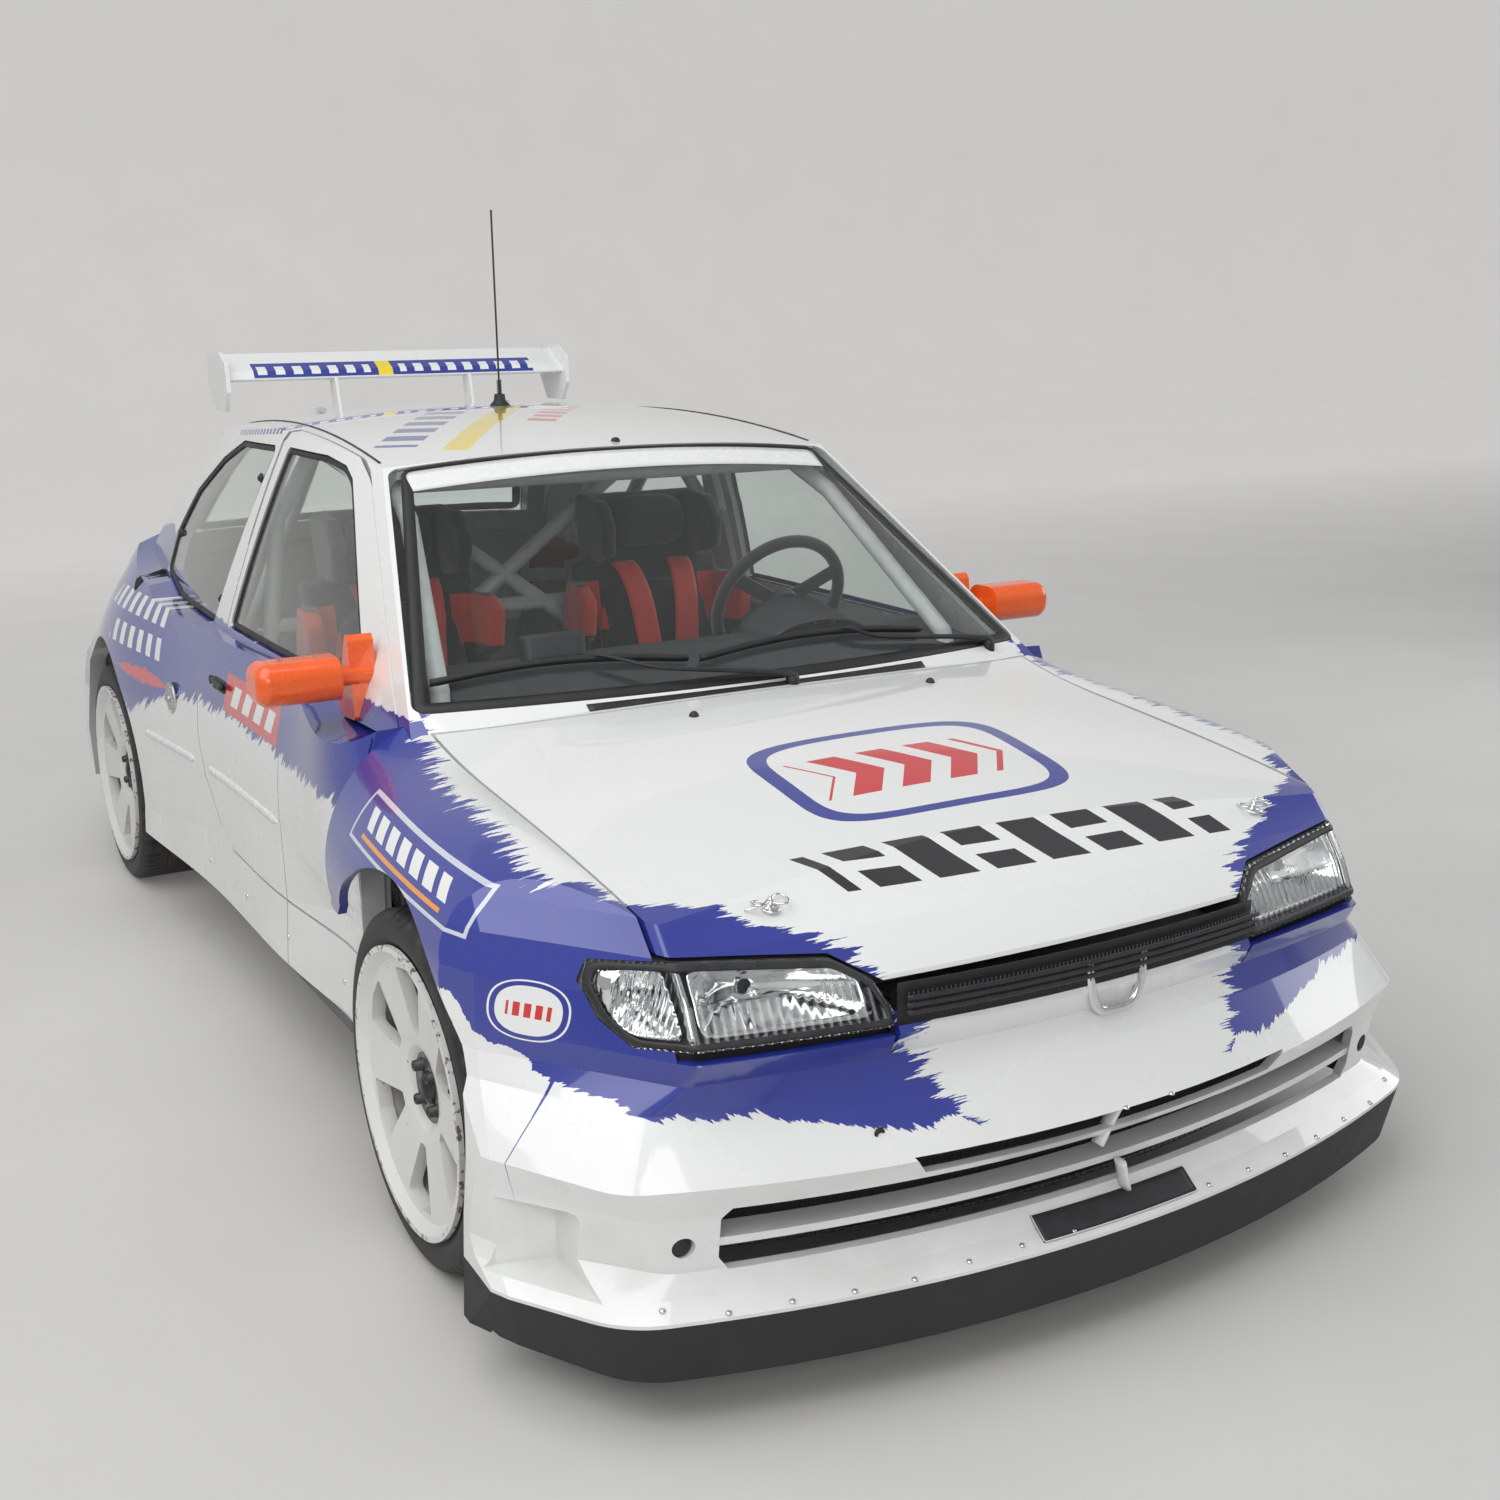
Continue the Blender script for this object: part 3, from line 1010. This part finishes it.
# Tyres
# Black rubber, almost slick: three grooves round the tread, short cuts at the shoulders, fine rings on the
# walls, and more dust towards the tread.  The inner face sits on the rim.
tyre_rubber, tree, shader = new_material("tyre_rubber")
x, s, z, out = where(tree)
rear, radius = round_hub(s, z)
worn = ramp(noise(tree, 26.0, 6.0, 0.62), 0.42, 0.72) * ramp(radius, 0.285, 0.318, 0.35, 1.0)
set_shader(shader, (wave(radius, 2100.0) * (radius < 0.306) + noise(tree, 900.0), 0.25, 0.0006),
           base_color=tint(worn, (0.013, 0.013, 0.014, 1), (0.075, 0.068, 0.060, 1)),
           roughness=worn * 0.3 + 0.52)


def tyre(name, side, face, station):
    """A tyre's section carried round the hub line.  The section is (distance out, radius); on the tread its
    radius is cut by three round grooves and, at the shoulders, by a short cut every fifth row."""
    wall = rounded([(-0.099, 0.2515), (-0.100, 0.262), (-0.1065, 0.272), (-0.1070, 0.286), (-0.104, 0.303),
                    (-0.096, 0.3155), (-0.084, 0.3195)], 0.006, 20, closed=False)
    tread = np.stack([np.linspace(-0.081, 0.081, 55), np.full(55, 0.3198)], 1)
    inner = np.array([(0.099, 0.2420), (0.0, 0.2396), (-0.099, 0.2420)])
    across, radius = np.concatenate([wall, tread, wall[::-1] * (-1, 1), inner]).T
    rows, half_width = 360, 0.113
    shoulder = (abs(across) > 0.052) & (radius > 0.305)
    in_groove = (abs(abs(across) - 0.030) < 0.0022) | (abs(across) < 0.0022)
    groove = 0.0045 * in_groove * (radius > 0.319)
    cut = 0.0035 * (np.arange(rows) % 5 == 0)[:, None] * shoulder
    rib = 0.0008 * (abs(radius - 0.2965) < 0.0025)
    turn = np.linspace(0, 2 * pi, rows, endpoint=False)[:, None] + 0.5 * abs(across) * (radius > 0.305)
    reach = radius - groove - cut
    out = side * (face - half_width + across + np.sign(across) * rib) + 0 * turn
    ring = np.stack([out, at(station) + reach * np.cos(turn), axle_height + reach * np.sin(turn)], -1)
    return surface(name, ring, closed_across=True, closed_along=True)


def bolt_circle(name, centre, side, count, circle, profile, sides):
    """Lathe pieces standing on a circle about a hub line."""
    turn = 2 * pi * (np.arange(count) + 0.5) / count
    places = np.stack([0 * turn, circle * np.cos(turn), circle * np.sin(turn)], 1) + centre
    return join(name, [lathe("bolt", profile, place, (side, 0, 0), sides) for place in places])


bolt = [(-0.002, 0.0), (-0.002, 0.0135), (0.001, 0.0135), (0.0025, 0.0105), (0.014, 0.0100), (0.0165, 0.0085),
        (0.0165, 0.0045), (0.010, 0.0042), (0.010, 0.0)]
cap = [(-0.004, 0.0), (-0.004, 0.030), (0.002, 0.0300), (0.006, 0.0275), (0.008, 0.021), (0.0125, 0.019),
       (0.014, 0.0)]
valve = [(-0.012, 0.0), (-0.012, 0.006), (0.004, 0.0045), (0.014, 0.0042), (0.015, 0.0)]
for axle, face, station in (("front", front_hub_face, 0.0), ("rear", rear_hub_face, wheelbase)):
    for side, hand in both_sides:
        corner = "%s_%s" % (axle, hand)
        made = tyre("tread_" + corner, side, face, station)
        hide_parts("tyre_" + corner)
        fit(made, "wheel_" + corner, tyre_rubber)
        hub = np.array((side * (face - 0.046), at(station), axle_height))
        fittings = [bolt_circle("bolts", hub, side, 4, 0.0445, bolt, 18),
                    lathe("cap", cap, hub, (side, 0, 0), 32)]
        fit(join("hub_fittings_" + corner, fittings), "wheel_" + corner, dark_steel)
        stem = np.array((side * (face - 0.019), at(station) - 0.212, axle_height + 0.085))
        fit(lathe("valve_" + corner, valve, stem, (side, 0, 0), 12), "wheel_" + corner, rubber)

# Body side trim
# Black plastic door handles with a lock, an alloy filler cap, moulded side mouldings, an exhaust vent in
# each quarter and small catches that hold the quarter windows.
bare_alloy = grained("bare_alloy", (0.62, 0.62, 0.61, 1), (0.36, 0.35, 0.34, 1), 240, 0.28, 0.5, metallic=0.9)


def side_face(s, z, side, target):
    """Points of the side view moved in onto a CAD node's outer face."""
    s = np.asarray(s, float)
    return onto(np.stack([np.full_like(s, side * 1.4), at(s), z + 0 * s], -1), target, (-side, 0, 0))


def cover(name, grid, outward, edge, low, high):
    """A closed cushion-shaped cover over a patch: low at its rim, high inside it."""
    outward = np.asarray(outward, float)
    top = grid[1:] + outward * high
    side_wall = np.stack([grid[0] + outward * low, grid[0] + outward * (high - edge)])
    floor = grid[::-1] + outward * low
    return surface(name, np.concatenate([floor, side_wall, top], 0), closed_across=True)


handle_corners = [(1.425, 0.757), (1.540, 0.757), (1.540, 0.786), (1.425, 0.786)]
vent_corners = [(2.462, 0.868), (2.542, 0.890), (2.552, 0.920), (2.472, 0.902)]
lock = [(-0.002, 0.0), (-0.002, 0.011), (0.003, 0.0105), (0.004, 0.004), (0.002, 0.0)]
catch = [(-0.001, 0.0), (-0.001, 0.013), (0.004, 0.012), (0.007, 0.007), (0.010, 0.006), (0.011, 0.0)]
screw = [(-0.001, 0.0), (-0.001, 0.007), (0.001, 0.0068), (0.003, 0.004), (0.0032, 0.0)]
for side, hand in both_sides:
    door, quarter, outward = "door_" + hand, "body_side_" + hand, (side, 0, 0)
    plate = side_face(*np.moveaxis(filled(handle_corners, 0.014), -1, 0), side, door)
    bar = np.linspace(plate[0].min(0), plate[0].max(0), 12) * (1, 1, 0) + (side * 0.006, 0, 0.775)
    key_hole = side_face([1.562], 0.771, side, door)[0]
    handle = [cover("plate", plate, outward, 0.003, -0.001, 0.004), sweep_along("bar", bar, 0.0055, 10, 1.3),
              lathe("lock", lock, key_hole, outward, 20)]
    fit(join("door_handle_" + hand, handle), door, black_plastic)
    t = np.linspace(0, 1, 40)
    for name, start, end, target, body in (
            ("door_moulding_", (0.975, 0.556), (1.585, 0.548), door, door),
            ("quarter_moulding_", (1.69, 0.547), (2.11, 0.541), quarter, "shell")):
        line = side_face(start[0] + (end[0] - start[0]) * t, start[1] + (end[1] - start[1]) * t, side, target)
        width = 0.011 * np.minimum(1, np.minimum(t, 1 - t) * 16 + 0.15)
        fit(sweep_along(name + hand, line, width, 10, 0.45, outward), body, white_film)
    for number, (s, z) in enumerate([(1.707, 1.236), (2.463, 1.026), (1.790, 0.930)]):
        spot = side_face([s], z, side, "quarter_glass")[0]
        fit(lathe("window_catch_%s_%d" % (hand, number + 1), catch, spot, outward, 20),
            "shell", black_plastic)
    louvre = side_face(*np.moveaxis(filled(vent_corners, 0.012), -1, 0), side, quarter)
    fit(cover("side_vent_" + hand, louvre, outward, 0.002, -0.001, 0.0022), "shell", shadow_black)
    fins = []
    for k in range(7):
        station, height = np.array([2.474, 2.478]) + k * 0.011, np.array([0.876, 0.898]) + k * 0.003
        line = side_face(station, height, side, quarter)
        fins.append(sweep_along("fin", line + (side * 0.003, 0, 0), 0.0022, 6))
    fit(join("side_vent_fins_" + hand, fins), "shell", black_plastic)
    spots = side_face([0.62, 0.95, 1.28, 1.62], 0.300, side, quarter)
    fit(join("sill_screws_" + hand, [lathe("screw", screw, spot, outward, 14) for spot in spots]),
        "shell", chrome)
seat = side_face([1.871], 0.672, -1, "body_side_right")[0]
filler = [(-0.002, 0.0), (-0.002, 0.043), (0.003, 0.042), (0.005, 0.039), (0.0045, 0.030), (0.008, 0.029),
          (0.009, 0.027), (0.009, 0.0)]
cap_bolt, circle = [(0.003, 0.0), (0.003, 0.0032), (0.007, 0.003), (0.0072, 0.0)], 0.0355
latch = seat + np.array([(-0.010, -0.020, 0.004), (-0.013, 0.0, 0.0), (-0.010, 0.022, -0.004)])
pieces = [lathe("cap", filler, seat, (-1, 0, 0), 48), sweep_along("latch", latch, 0.0045, 8, 1.6)]
for turn in np.linspace(0, 2 * pi, 6, endpoint=False):
    spot = seat + (0, circle * np.cos(turn), circle * np.sin(turn))
    pieces.append(lathe("bolt", cap_bolt, spot, (-1, 0, 0), 10))
fit(join("filler_cap", pieces), "shell", bare_alloy)

# Roof fittings
# A low black nub at the front edge, a rain channel's dark sealer along each side, and a rubber foot under
# the whip aerial, which is black-painted spring steel.
nub = [(-0.002, 0.0), (-0.002, 0.011), (0.004, 0.010), (0.008, 0.006), (0.009, 0.0)]
fit(lathe("roof_nub", nub, top_face(np.array([0.0]), 0.978, "roof")[0], (0, 0, 1), 24),
    "shell", rubber)
aerial_station = 1.662
foot = [(-0.003, 0.0), (-0.003, 0.026), (0.003, 0.0255), (0.008, 0.020), (0.014, 0.0155), (0.026, 0.0140),
        (0.030, 0.0132), (0.030, 0.0)]
fit(lathe("aerial_foot", foot, top_face(np.array([0.0]), aerial_station, "roof")[0], (0, 0, 1), 32),
    "shell", rubber)
dress(black_plastic, ["aerial"])
coils, wire_radius = np.linspace(0, 9 * 2 * pi, 200), 0.0055
spring = np.stack([wire_radius * np.cos(coils), at(aerial_station) + wire_radius * np.sin(coils),
                   1.424 + 0.036 * coils / coils[-1]], -1)
tip = lathe("tip", [(-0.004, 0.0), (-0.003, 0.0026), (0.0, 0.0030), (0.002, 0.0)], (0, at(1.666), 1.8835),
            (0, 0, 1), 12)
fit(join("aerial_spring", [sweep_along("wire", spring, 0.0013, 6), tip]), "shell", dark_steel)
for side, hand in both_sides:
    station = np.linspace(1.02, 2.30, 80)
    x = side * (np.interp(station, [1.0, 2.33], [0.5555, 0.4925]) - 0.004)
    line = top_face(x, station, "roof") + (0, 0, 0.0008)
    fit(sweep_along("roof_sealer_" + hand, line, 0.0032, 8, 0.45), "shell", rubber)

# Scuttle
# A pressed panel between bonnet and windscreen, painted like the body; a black plastic air grille lies on
# its middle.
painted("scuttle_paint", front_mark, ["scuttle"])
x = np.linspace(-0.40, 0.40, 60)[:, None] + np.zeros((1, 4))
station = 0.272 + 0.088 * (x / 0.702) ** 2 + np.linspace(0.004, 0.020, 4)[None, :]
vent = top_face(x, station, "scuttle")
fit(strip("scuttle_grille", vent, (0, -0.3, 0.95), 0.0003, 0.0018), "shell", black_plastic)

# Seats
# Two fixed-back bucket seats: a moulded shell under thick foam, covered in black woven cloth with red cloth
# on the shoulder wings.  The cover's swell is simulated as cloth under pressure.  Loose pads lie on them.
seat_middle = 0.362
cloth, tree, shader = new_material("seat_cloth", sheen_weight=0.35)
x, s, z, out = where(tree)
weave = wave(x + z, 3600.0) * wave(s + z - x, 3600.0)
wear = noise(tree, 22.0, 5.0)
black_cloth = tint(wear, (0.009, 0.009, 0.010, 1), (0.034, 0.033, 0.034, 1))
red_cloth = tint(wear, (0.42, 0.035, 0.02, 1), (0.66, 0.065, 0.03, 1))
shoulder_wing = every(abs(out - seat_middle) > 0.150, near(z, 0.865, 0.062), s < 1.60)
set_shader(shader, (weave, 0.35, 0.0005), base_color=tint(shoulder_wing, black_cloth, red_cloth),
           roughness=wear * 0.2 + 0.72)


def settle(piece):
    """Apply a piece's modifiers to its mesh."""
    graph = bpy.context.evaluated_depsgraph_get()
    mesh = bpy.data.meshes.new_from_object(piece.evaluated_get(graph))
    piece.modifiers.clear()
    piece.data = mesh


def points_of(piece):
    """A piece's vertices as an array."""
    co = np.empty(3 * len(piece.data.vertices))
    piece.data.vertices.foreach_get("co", co)
    return co.reshape(-1, 3)


def stuffed(piece, voxel, reach):
    """Remesh a piece evenly, swell it as cloth under pressure, cap each point's move, and smooth it."""
    remesh = piece.modifiers.new("even", "REMESH")
    remesh.mode, remesh.voxel_size = "VOXEL", voxel
    settle(piece)
    before = points_of(piece)
    swell = piece.modifiers.new("swell", "CLOTH")
    swell.settings.quality = 4
    swell.settings.use_pressure = True
    swell.settings.uniform_pressure_force = 4
    swell.settings.effector_weights.gravity = 0
    for frame_number in range(1, 21):
        bpy.context.scene.frame_set(frame_number)
    settle(piece)
    bpy.context.scene.frame_set(1)
    move = points_of(piece) - before
    far = np.linalg.norm(move, axis=1)[:, None]
    capped = before + move * np.minimum(1, reach / np.maximum(far, 1e-9))
    piece.data.vertices.foreach_set("co", capped.ravel())
    smooth = piece.modifiers.new("smooth", "SMOOTH")
    smooth.factor, smooth.iterations = 0.5, 3
    settle(piece)
    piece.data.shade_smooth()


def mirrored_copy(piece, name):
    """A copy of a piece across the middle plane, its faces turned back outwards."""
    mesh = piece.data.copy()
    co = points_of(piece) * (-1, 1, 1)
    mesh.vertices.foreach_set("co", co.ravel())
    mesh.flip_normals()
    return placed(name, mesh)


def cushion(name, middle, half, lean, power=3.2, rows=40, columns=64):
    """A crowned pad: a ball whose sections are powers between circle and square, stretched to its half sizes
    and leaned back about the cross-car line."""
    def shaped(value):
        return np.sign(value) * np.abs(value) ** (2 / power)

    up = np.linspace(-pi / 2, pi / 2, rows)[:, None]
    turn = np.linspace(0, 2 * pi, columns, endpoint=False)[None, :]
    x = half[0] * shaped(np.cos(up)) * shaped(np.cos(turn))
    z = half[2] * shaped(np.cos(up)) * shaped(np.sin(turn))
    dents = 1 - 0.12 * np.cos(turn * 4) * np.cos(up) ** 2
    y = half[1] * np.sin(up) * np.abs(np.sin(up)) ** -0.15 * dents
    pad = np.stack([middle[0] + x, at(middle[1]) + y * cos(lean) - z * sin(lean),
                    middle[2] + y * sin(lean) + z * cos(lean)], -1)
    return surface(name, pad, closed_across=True)


work = bmesh.new()
work.from_mesh(nodes["seats"].data)
bmesh.ops.remove_doubles(work, verts=work.verts, dist=1e-5)
bmesh.ops.delete(work, geom=[v for v in work.verts if v.co.x < 0], context="VERTS")
half_mesh = bpy.data.meshes.new("seat_left")
work.to_mesh(half_mesh)
work.free()
seat_left = placed("seat_left", half_mesh)
stuffed(seat_left, 0.010, 0.008)
seat_right = mirrored_copy(seat_left, "seat_right")
pads = [cushion("back_pad_left", (seat_middle, 1.478, 0.700), (0.178, 0.036, 0.235), radians(-14)),
        cushion("base_pad_left", (seat_middle, 1.300, 0.432), (0.180, 0.150, 0.040), radians(6)),
        cushion("head_pad_left", (seat_middle, 1.545, 1.080), (0.112, 0.030, 0.070), radians(-8))]
for pad in pads:
    stuffed(pad, 0.008, 0.006)
for pad in [seat_left] + pads:
    twin = seat_right if pad is seat_left else mirrored_copy(pad, pad.name.replace("left", "right"))
    for piece in (pad, twin):
        if pad is seat_left:
            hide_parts("seats")
        fit(piece, "shell", cloth)

# Seat belts
# Flat red woven webbing, 70 mm wide at the shoulders, from slots in the seat back to a round steel buckle;
# a narrower strap crosses each side of the lap.
webbing, tree, shader = new_material("belt_webbing", sheen_weight=0.2)
x, s, z, out = where(tree)
cords = wave(z + s, 2200.0) * wave(x, 2600.0)
set_shader(shader, (cords, 0.4, 0.0004), roughness=cords * 0.06 + 0.6,
           base_color=tint(noise(tree, 30.0, 4.0), (0.45, 0.028, 0.02, 1), (0.62, 0.05, 0.03, 1)))


def webbing_strip(name, path, width):
    """A strap along a path of points, flat across the car, with a crown of 1 mm."""
    path = rounded(path, 0.05, 60, closed=False)
    run = np.gradient(path, axis=0)
    outward = np.cross(run, (1.0, 0, 0))
    outward = outward / np.linalg.norm(outward, axis=1)[:, None]
    outward[outward[:, 1] > 0] *= -1
    across = np.cross(outward, run)
    across /= np.linalg.norm(across, axis=1)[:, None]
    grid = path[:, None] + across[:, None] * np.linspace(-width / 2, width / 2, 7)[:, None]
    return strip(name, grid, outward[:, None, :], 0.0, crown(7, 0.0012, 0.0024))


shoulder_line = [(0.085, 1.585, 0.972), (0.082, 1.515, 0.975), (0.070, 1.455, 0.900), (0.050, 1.415, 0.700),
                 (0.022, 1.388, 0.545)]
lap_line = [(0.190, 1.440, 0.520), (0.120, 1.385, 0.505), (0.025, 1.384, 0.520)]
buckle = [(-0.012, 0.0), (-0.012, 0.030), (0.0, 0.031), (0.007, 0.027), (0.009, 0.016), (0.012, 0.015),
          (0.012, 0.0)]
for side, hand in both_sides:
    middle = side * seat_middle
    straps = []
    for lean in (-1, 1):
        for line, width in ((shoulder_line, 0.070), (lap_line, 0.048)):
            path = [(middle + lean * far, at(station), high) for far, station, high in line]
            straps.append(webbing_strip("strap", path, width))
    fit(join("harness_" + hand, straps), "shell", webbing)
    fit(lathe("buckle_" + hand, buckle, (middle, at(1.374), 0.530), (0, -1, 0.25), 32),
        "shell", dark_steel)

# Dashboard, instruments and steering wheel
# Moulded dark grey plastic with a fine leather-like grain.  A hood shades three dials before the driver; a
# metal panel with toggle switches sits in the middle; a trip box stands on the right.
leather_grain = grained("dash_plastic", (0.040, 0.041, 0.044, 1), (0.024, 0.025, 0.027, 1), 900, 0.55, 0.75,
                        bump=0.35, depth=0.0008)
suede = grained("suede_rim", (0.020, 0.020, 0.021, 1), (0.010, 0.010, 0.011, 1), 1300, 0.75, 0.92,
                bump=0.4, sheen_weight=0.4)
dress(leather_grain, ["dashboard"])
dress(suede, ["steering_wheel"])
steering_x, steering_station, steering_height, steering_lean = 0.366, 0.862, 0.948, radians(24)
turn = np.linspace(pi, 0, 40)[:, None]
deep = np.linspace(0, 1, 8)[None, :]
hood = np.stack([steering_x + (0.135 - 0.012 * deep) * np.cos(turn), at(0.820) - 0.150 * deep + 0 * turn,
                 0.888 + (0.075 - 0.035 * deep) * np.sin(turn)], -1)
outward = np.stack([np.cos(turn) + 0 * deep, 0 * turn * deep, np.sin(turn) + 0 * deep], -1)
fit(strip("instrument_hood", hood, outward, 0.0, 0.004), "shell", leather_grain)
x = np.linspace(-0.122, 0.122, 30)[:, None] + np.zeros((1, 6))
high = np.sqrt(np.maximum(0, 1 - (x / 0.128) ** 2)) * 0.062 * np.linspace(0, 1, 6)[None, :]
dial_board = np.stack([steering_x + x, at(0.772) + 0 * x, 0.882 + high], -1)
dial_face, tree, shader = new_material("dial_face", roughness=0.35)
x, s, z, out = where(tree)
dial_pitch = 0.075
cell_x, cell_z = (fraction((x - 0.2535) / dial_pitch) - 0.5) * dial_pitch, z - 0.910
reach, angle = length(cell_x, cell_z), cell_z.math("ARCTAN2", cell_z, cell_x)
ticks = every(near(reach, 0.0225, 0.003), stripes(angle + 7.0, 0.262, 0.22))
needle = every(reach < 0.02, near(angle, -2.3, 0.09))
set_shader(shader, base_color=laid_over(
    (0.012, 0.012, 0.013, 1), (ticks, (0.8, 0.8, 0.78, 1)),
    (near(reach, 0.0285, 0.0016), (0.35, 0.35, 0.36, 1)), (needle, (0.75, 0.09, 0.02, 1))))
fit(strip("instrument_dials", dial_board, (0, 1, 0), 0.0, 0.002), "shell", dial_face)
drop = np.linspace(0, 0.13, 6)[None, :]
x = np.linspace(-0.10, 0.14, 24)[:, None]
panel = np.broadcast_arrays(x, at(0.8405) - 0.16 * drop ** 2, 0.842 - drop)
brushed = grained("brushed_panel", (0.42, 0.42, 0.43, 1), (0.26, 0.26, 0.27, 1), 500, 0.3, 0.45,
                  metallic=0.9)
fit(strip("switch_panel", np.stack(panel, -1), (0, 1, 0), 0.0, 0.0025), "shell", brushed)
toggle = [(-0.001, 0.0), (-0.001, 0.0065), (0.003, 0.006), (0.004, 0.0028), (0.016, 0.0022), (0.019, 0.0030),
          (0.021, 0.0)]
switches = []
for row, height in enumerate((0.822, 0.790)):
    for x in np.linspace(-0.080, 0.120, 7):
        flick = 0.35 if (row + int(x * 100)) % 2 else -0.35
        switches.append(lathe("switch", toggle, (x, at(0.8425), height), (0, 1, flick), 14))
fit(join("toggle_switches", switches), "shell", chrome)
box = cushion("trip_box", (-0.30, 0.700, 0.932), (0.075, 0.022, 0.030), radians(-12),
              power=9, rows=30, columns=48)
fit(box, "shell", black_plastic)
boss = np.array((steering_x, at(steering_station), steering_height))
column = (0, cos(steering_lean), sin(steering_lean))
horn = [(-0.004, 0.0), (-0.004, 0.036), (0.004, 0.035), (0.009, 0.026), (0.013, 0.018), (0.014, 0.0)]
fit(lathe("horn_boss", horn, boss, column, 36), "steering_wheel", black_plastic)
boss_bolt, circle = [(0.0, 0.0), (0.0, 0.004), (0.008, 0.0038), (0.0085, 0.0)], 0.030
boss_bolts = []
for turn in np.linspace(0, 2 * pi, 6, endpoint=False):
    up = circle * np.sin(turn)
    spot = boss + (circle * np.cos(turn), -up * sin(steering_lean), up * cos(steering_lean))
    boss_bolts.append(lathe("bolt", boss_bolt, spot, column, 10))
fit(join("steering_bolts", boss_bolts), "steering_wheel", chrome)

# Roll cage, floor and what lies under the car
# Welded steel tube in white paint; a painted floor; sooty castings, a hot-blued exhaust, a finned radiator.
# All of them are bolted or welded to the shell.
for name, light, dark, scale, low, high, values, dressed in (
        ("cage_paint", (0.62, 0.63, 0.63, 1), (0.46, 0.47, 0.47, 1), 40, 0.28, 0.42, {"bump": 0.05},
         ["roll_cage"]),
        ("underbody", (0.20, 0.20, 0.20, 1), (0.07, 0.065, 0.06, 1), 30, 0.5, 0.8, {"bump": 0.2},
         ["floor_pan"]),
        ("cast_alloy", (0.30, 0.30, 0.29, 1), (0.12, 0.115, 0.11, 1), 220, 0.42, 0.65,
         {"bump": 0.3, "metallic": 0.6}, ["engine"]),
        ("arm_paint", (0.09, 0.09, 0.09, 1), (0.03, 0.028, 0.026, 1), 120, 0.4, 0.7, {"bump": 0.2},
         ["front_suspension", "rear_axle", "knuckle_left", "knuckle_right"]),
        ("skirt_rubber", (0.030, 0.030, 0.031, 1), (0.013, 0.013, 0.013, 1), 180, 0.5, 0.75, {"bump": 0.25},
         ["front_skirt"])):
    dress(grained(name, light, dark, scale, low, high, **values), dressed)
pipe, tree, shader = new_material("exhaust_steel", metallic=1.0)
x, s, z, out = where(tree)
heat = noise(tree, 9.0, 6.0)
set_shader(shader, roughness=heat * 0.4 + 0.2,
           base_color=tint(ramp(heat * 0.9 + s, 1.0, 3.2), (0.30, 0.22, 0.16, 1), (0.52, 0.50, 0.47, 1)))
dress(pipe, ["exhaust"])
core, tree, shader = new_material("radiator_core", metallic=0.7, roughness=0.45)
x, s, z, out = where(tree)
fins = wave(x, 1400.0) * wave(z, 500.0)
set_shader(shader, (fins, 0.5, 0.001),
           base_color=tint(ramp(fins, -1.0, 1.0), (0.02, 0.02, 0.02, 1), (0.16, 0.16, 0.16, 1)))
dress(core, ["radiator"])

# Rear fittings
# A black pull and a lock in the tailgate, a bare black number plate on the bumper, bolts at the feet of the
# rear wing, and a rolled lip on the exhaust's end.


def rear_face(x, z, target):
    """Points of the rear view moved forward onto a CAD node's back."""
    return onto(np.stack([x, np.full_like(x, at(3.5)), z + 0 * x], -1), target, (0, -1, 0))


flat = filled([(-0.075, 0.900), (0.075, 0.900), (0.075, 0.926), (-0.075, 0.926)], 0.012)
pull = rear_face(flat[..., 0], flat[..., 1], "tailgate")
lock = [(-0.002, 0.0), (-0.002, 0.013), (0.003, 0.0125), (0.0045, 0.005), (0.002, 0.0)]
key_hole = rear_face(np.array([0.0]), 0.868, "tailgate")[0]
fit(join("tailgate_pull", [cover("pull", pull, (0, 1, 0), 0.003, -0.001, 0.006),
                           lathe("lock", lock, key_hole, (0, 1, 0), 24)]), "tailgate", black_plastic)
x = np.linspace(-0.26, 0.26, 40)[:, None] + np.zeros((1, 6))
board = rear_face(x, 0.43 + np.linspace(0, 0.11, 6)[None, :], "rear_bumper")
fit(strip("rear_blank_plate", board, (0, 1, 0), 0.0003, 0.0010), "shell", black_plastic)
edge = rounded(np.concatenate([board[:, 0], board[::-1, -1]]) + (0, 0.0006, 0), 0.004, 200)
fit(sweep_along("rear_plate_edge", edge, 0.0009, 6, up=(0, 1, 0), closed=True), "shell", white_film)
foot_bolt = [(-0.001, 0.0), (-0.001, 0.0055), (0.0035, 0.005), (0.004, 0.0)]
feet = []
for x in (-0.206, 0.206):
    for z in (1.305, 1.328):
        for offset in (-0.016, 0.016):
            spot = rear_face(np.array([x + offset]), z, "tailgate")[0]
            feet.append(lathe("bolt", foot_bolt, spot, (0, 0.9, 0.4), 12))
fit(join("wing_foot_bolts", feet), "tailgate", chrome)
pipe_x, pipe_end, pipe_height = -0.120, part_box("exhaust")[1][1], 0.1874
lip = [(-0.030, 0.0282), (-0.030, 0.0292), (-0.004, 0.0294), (0.0, 0.0286), (-0.001, 0.0272),
       (-0.004, 0.0282), (-0.030, 0.0282)]
fit(lathe("exhaust_lip", lip, (pipe_x, pipe_end, pipe_height), (0, 1, 0), 48), "shell", chrome)
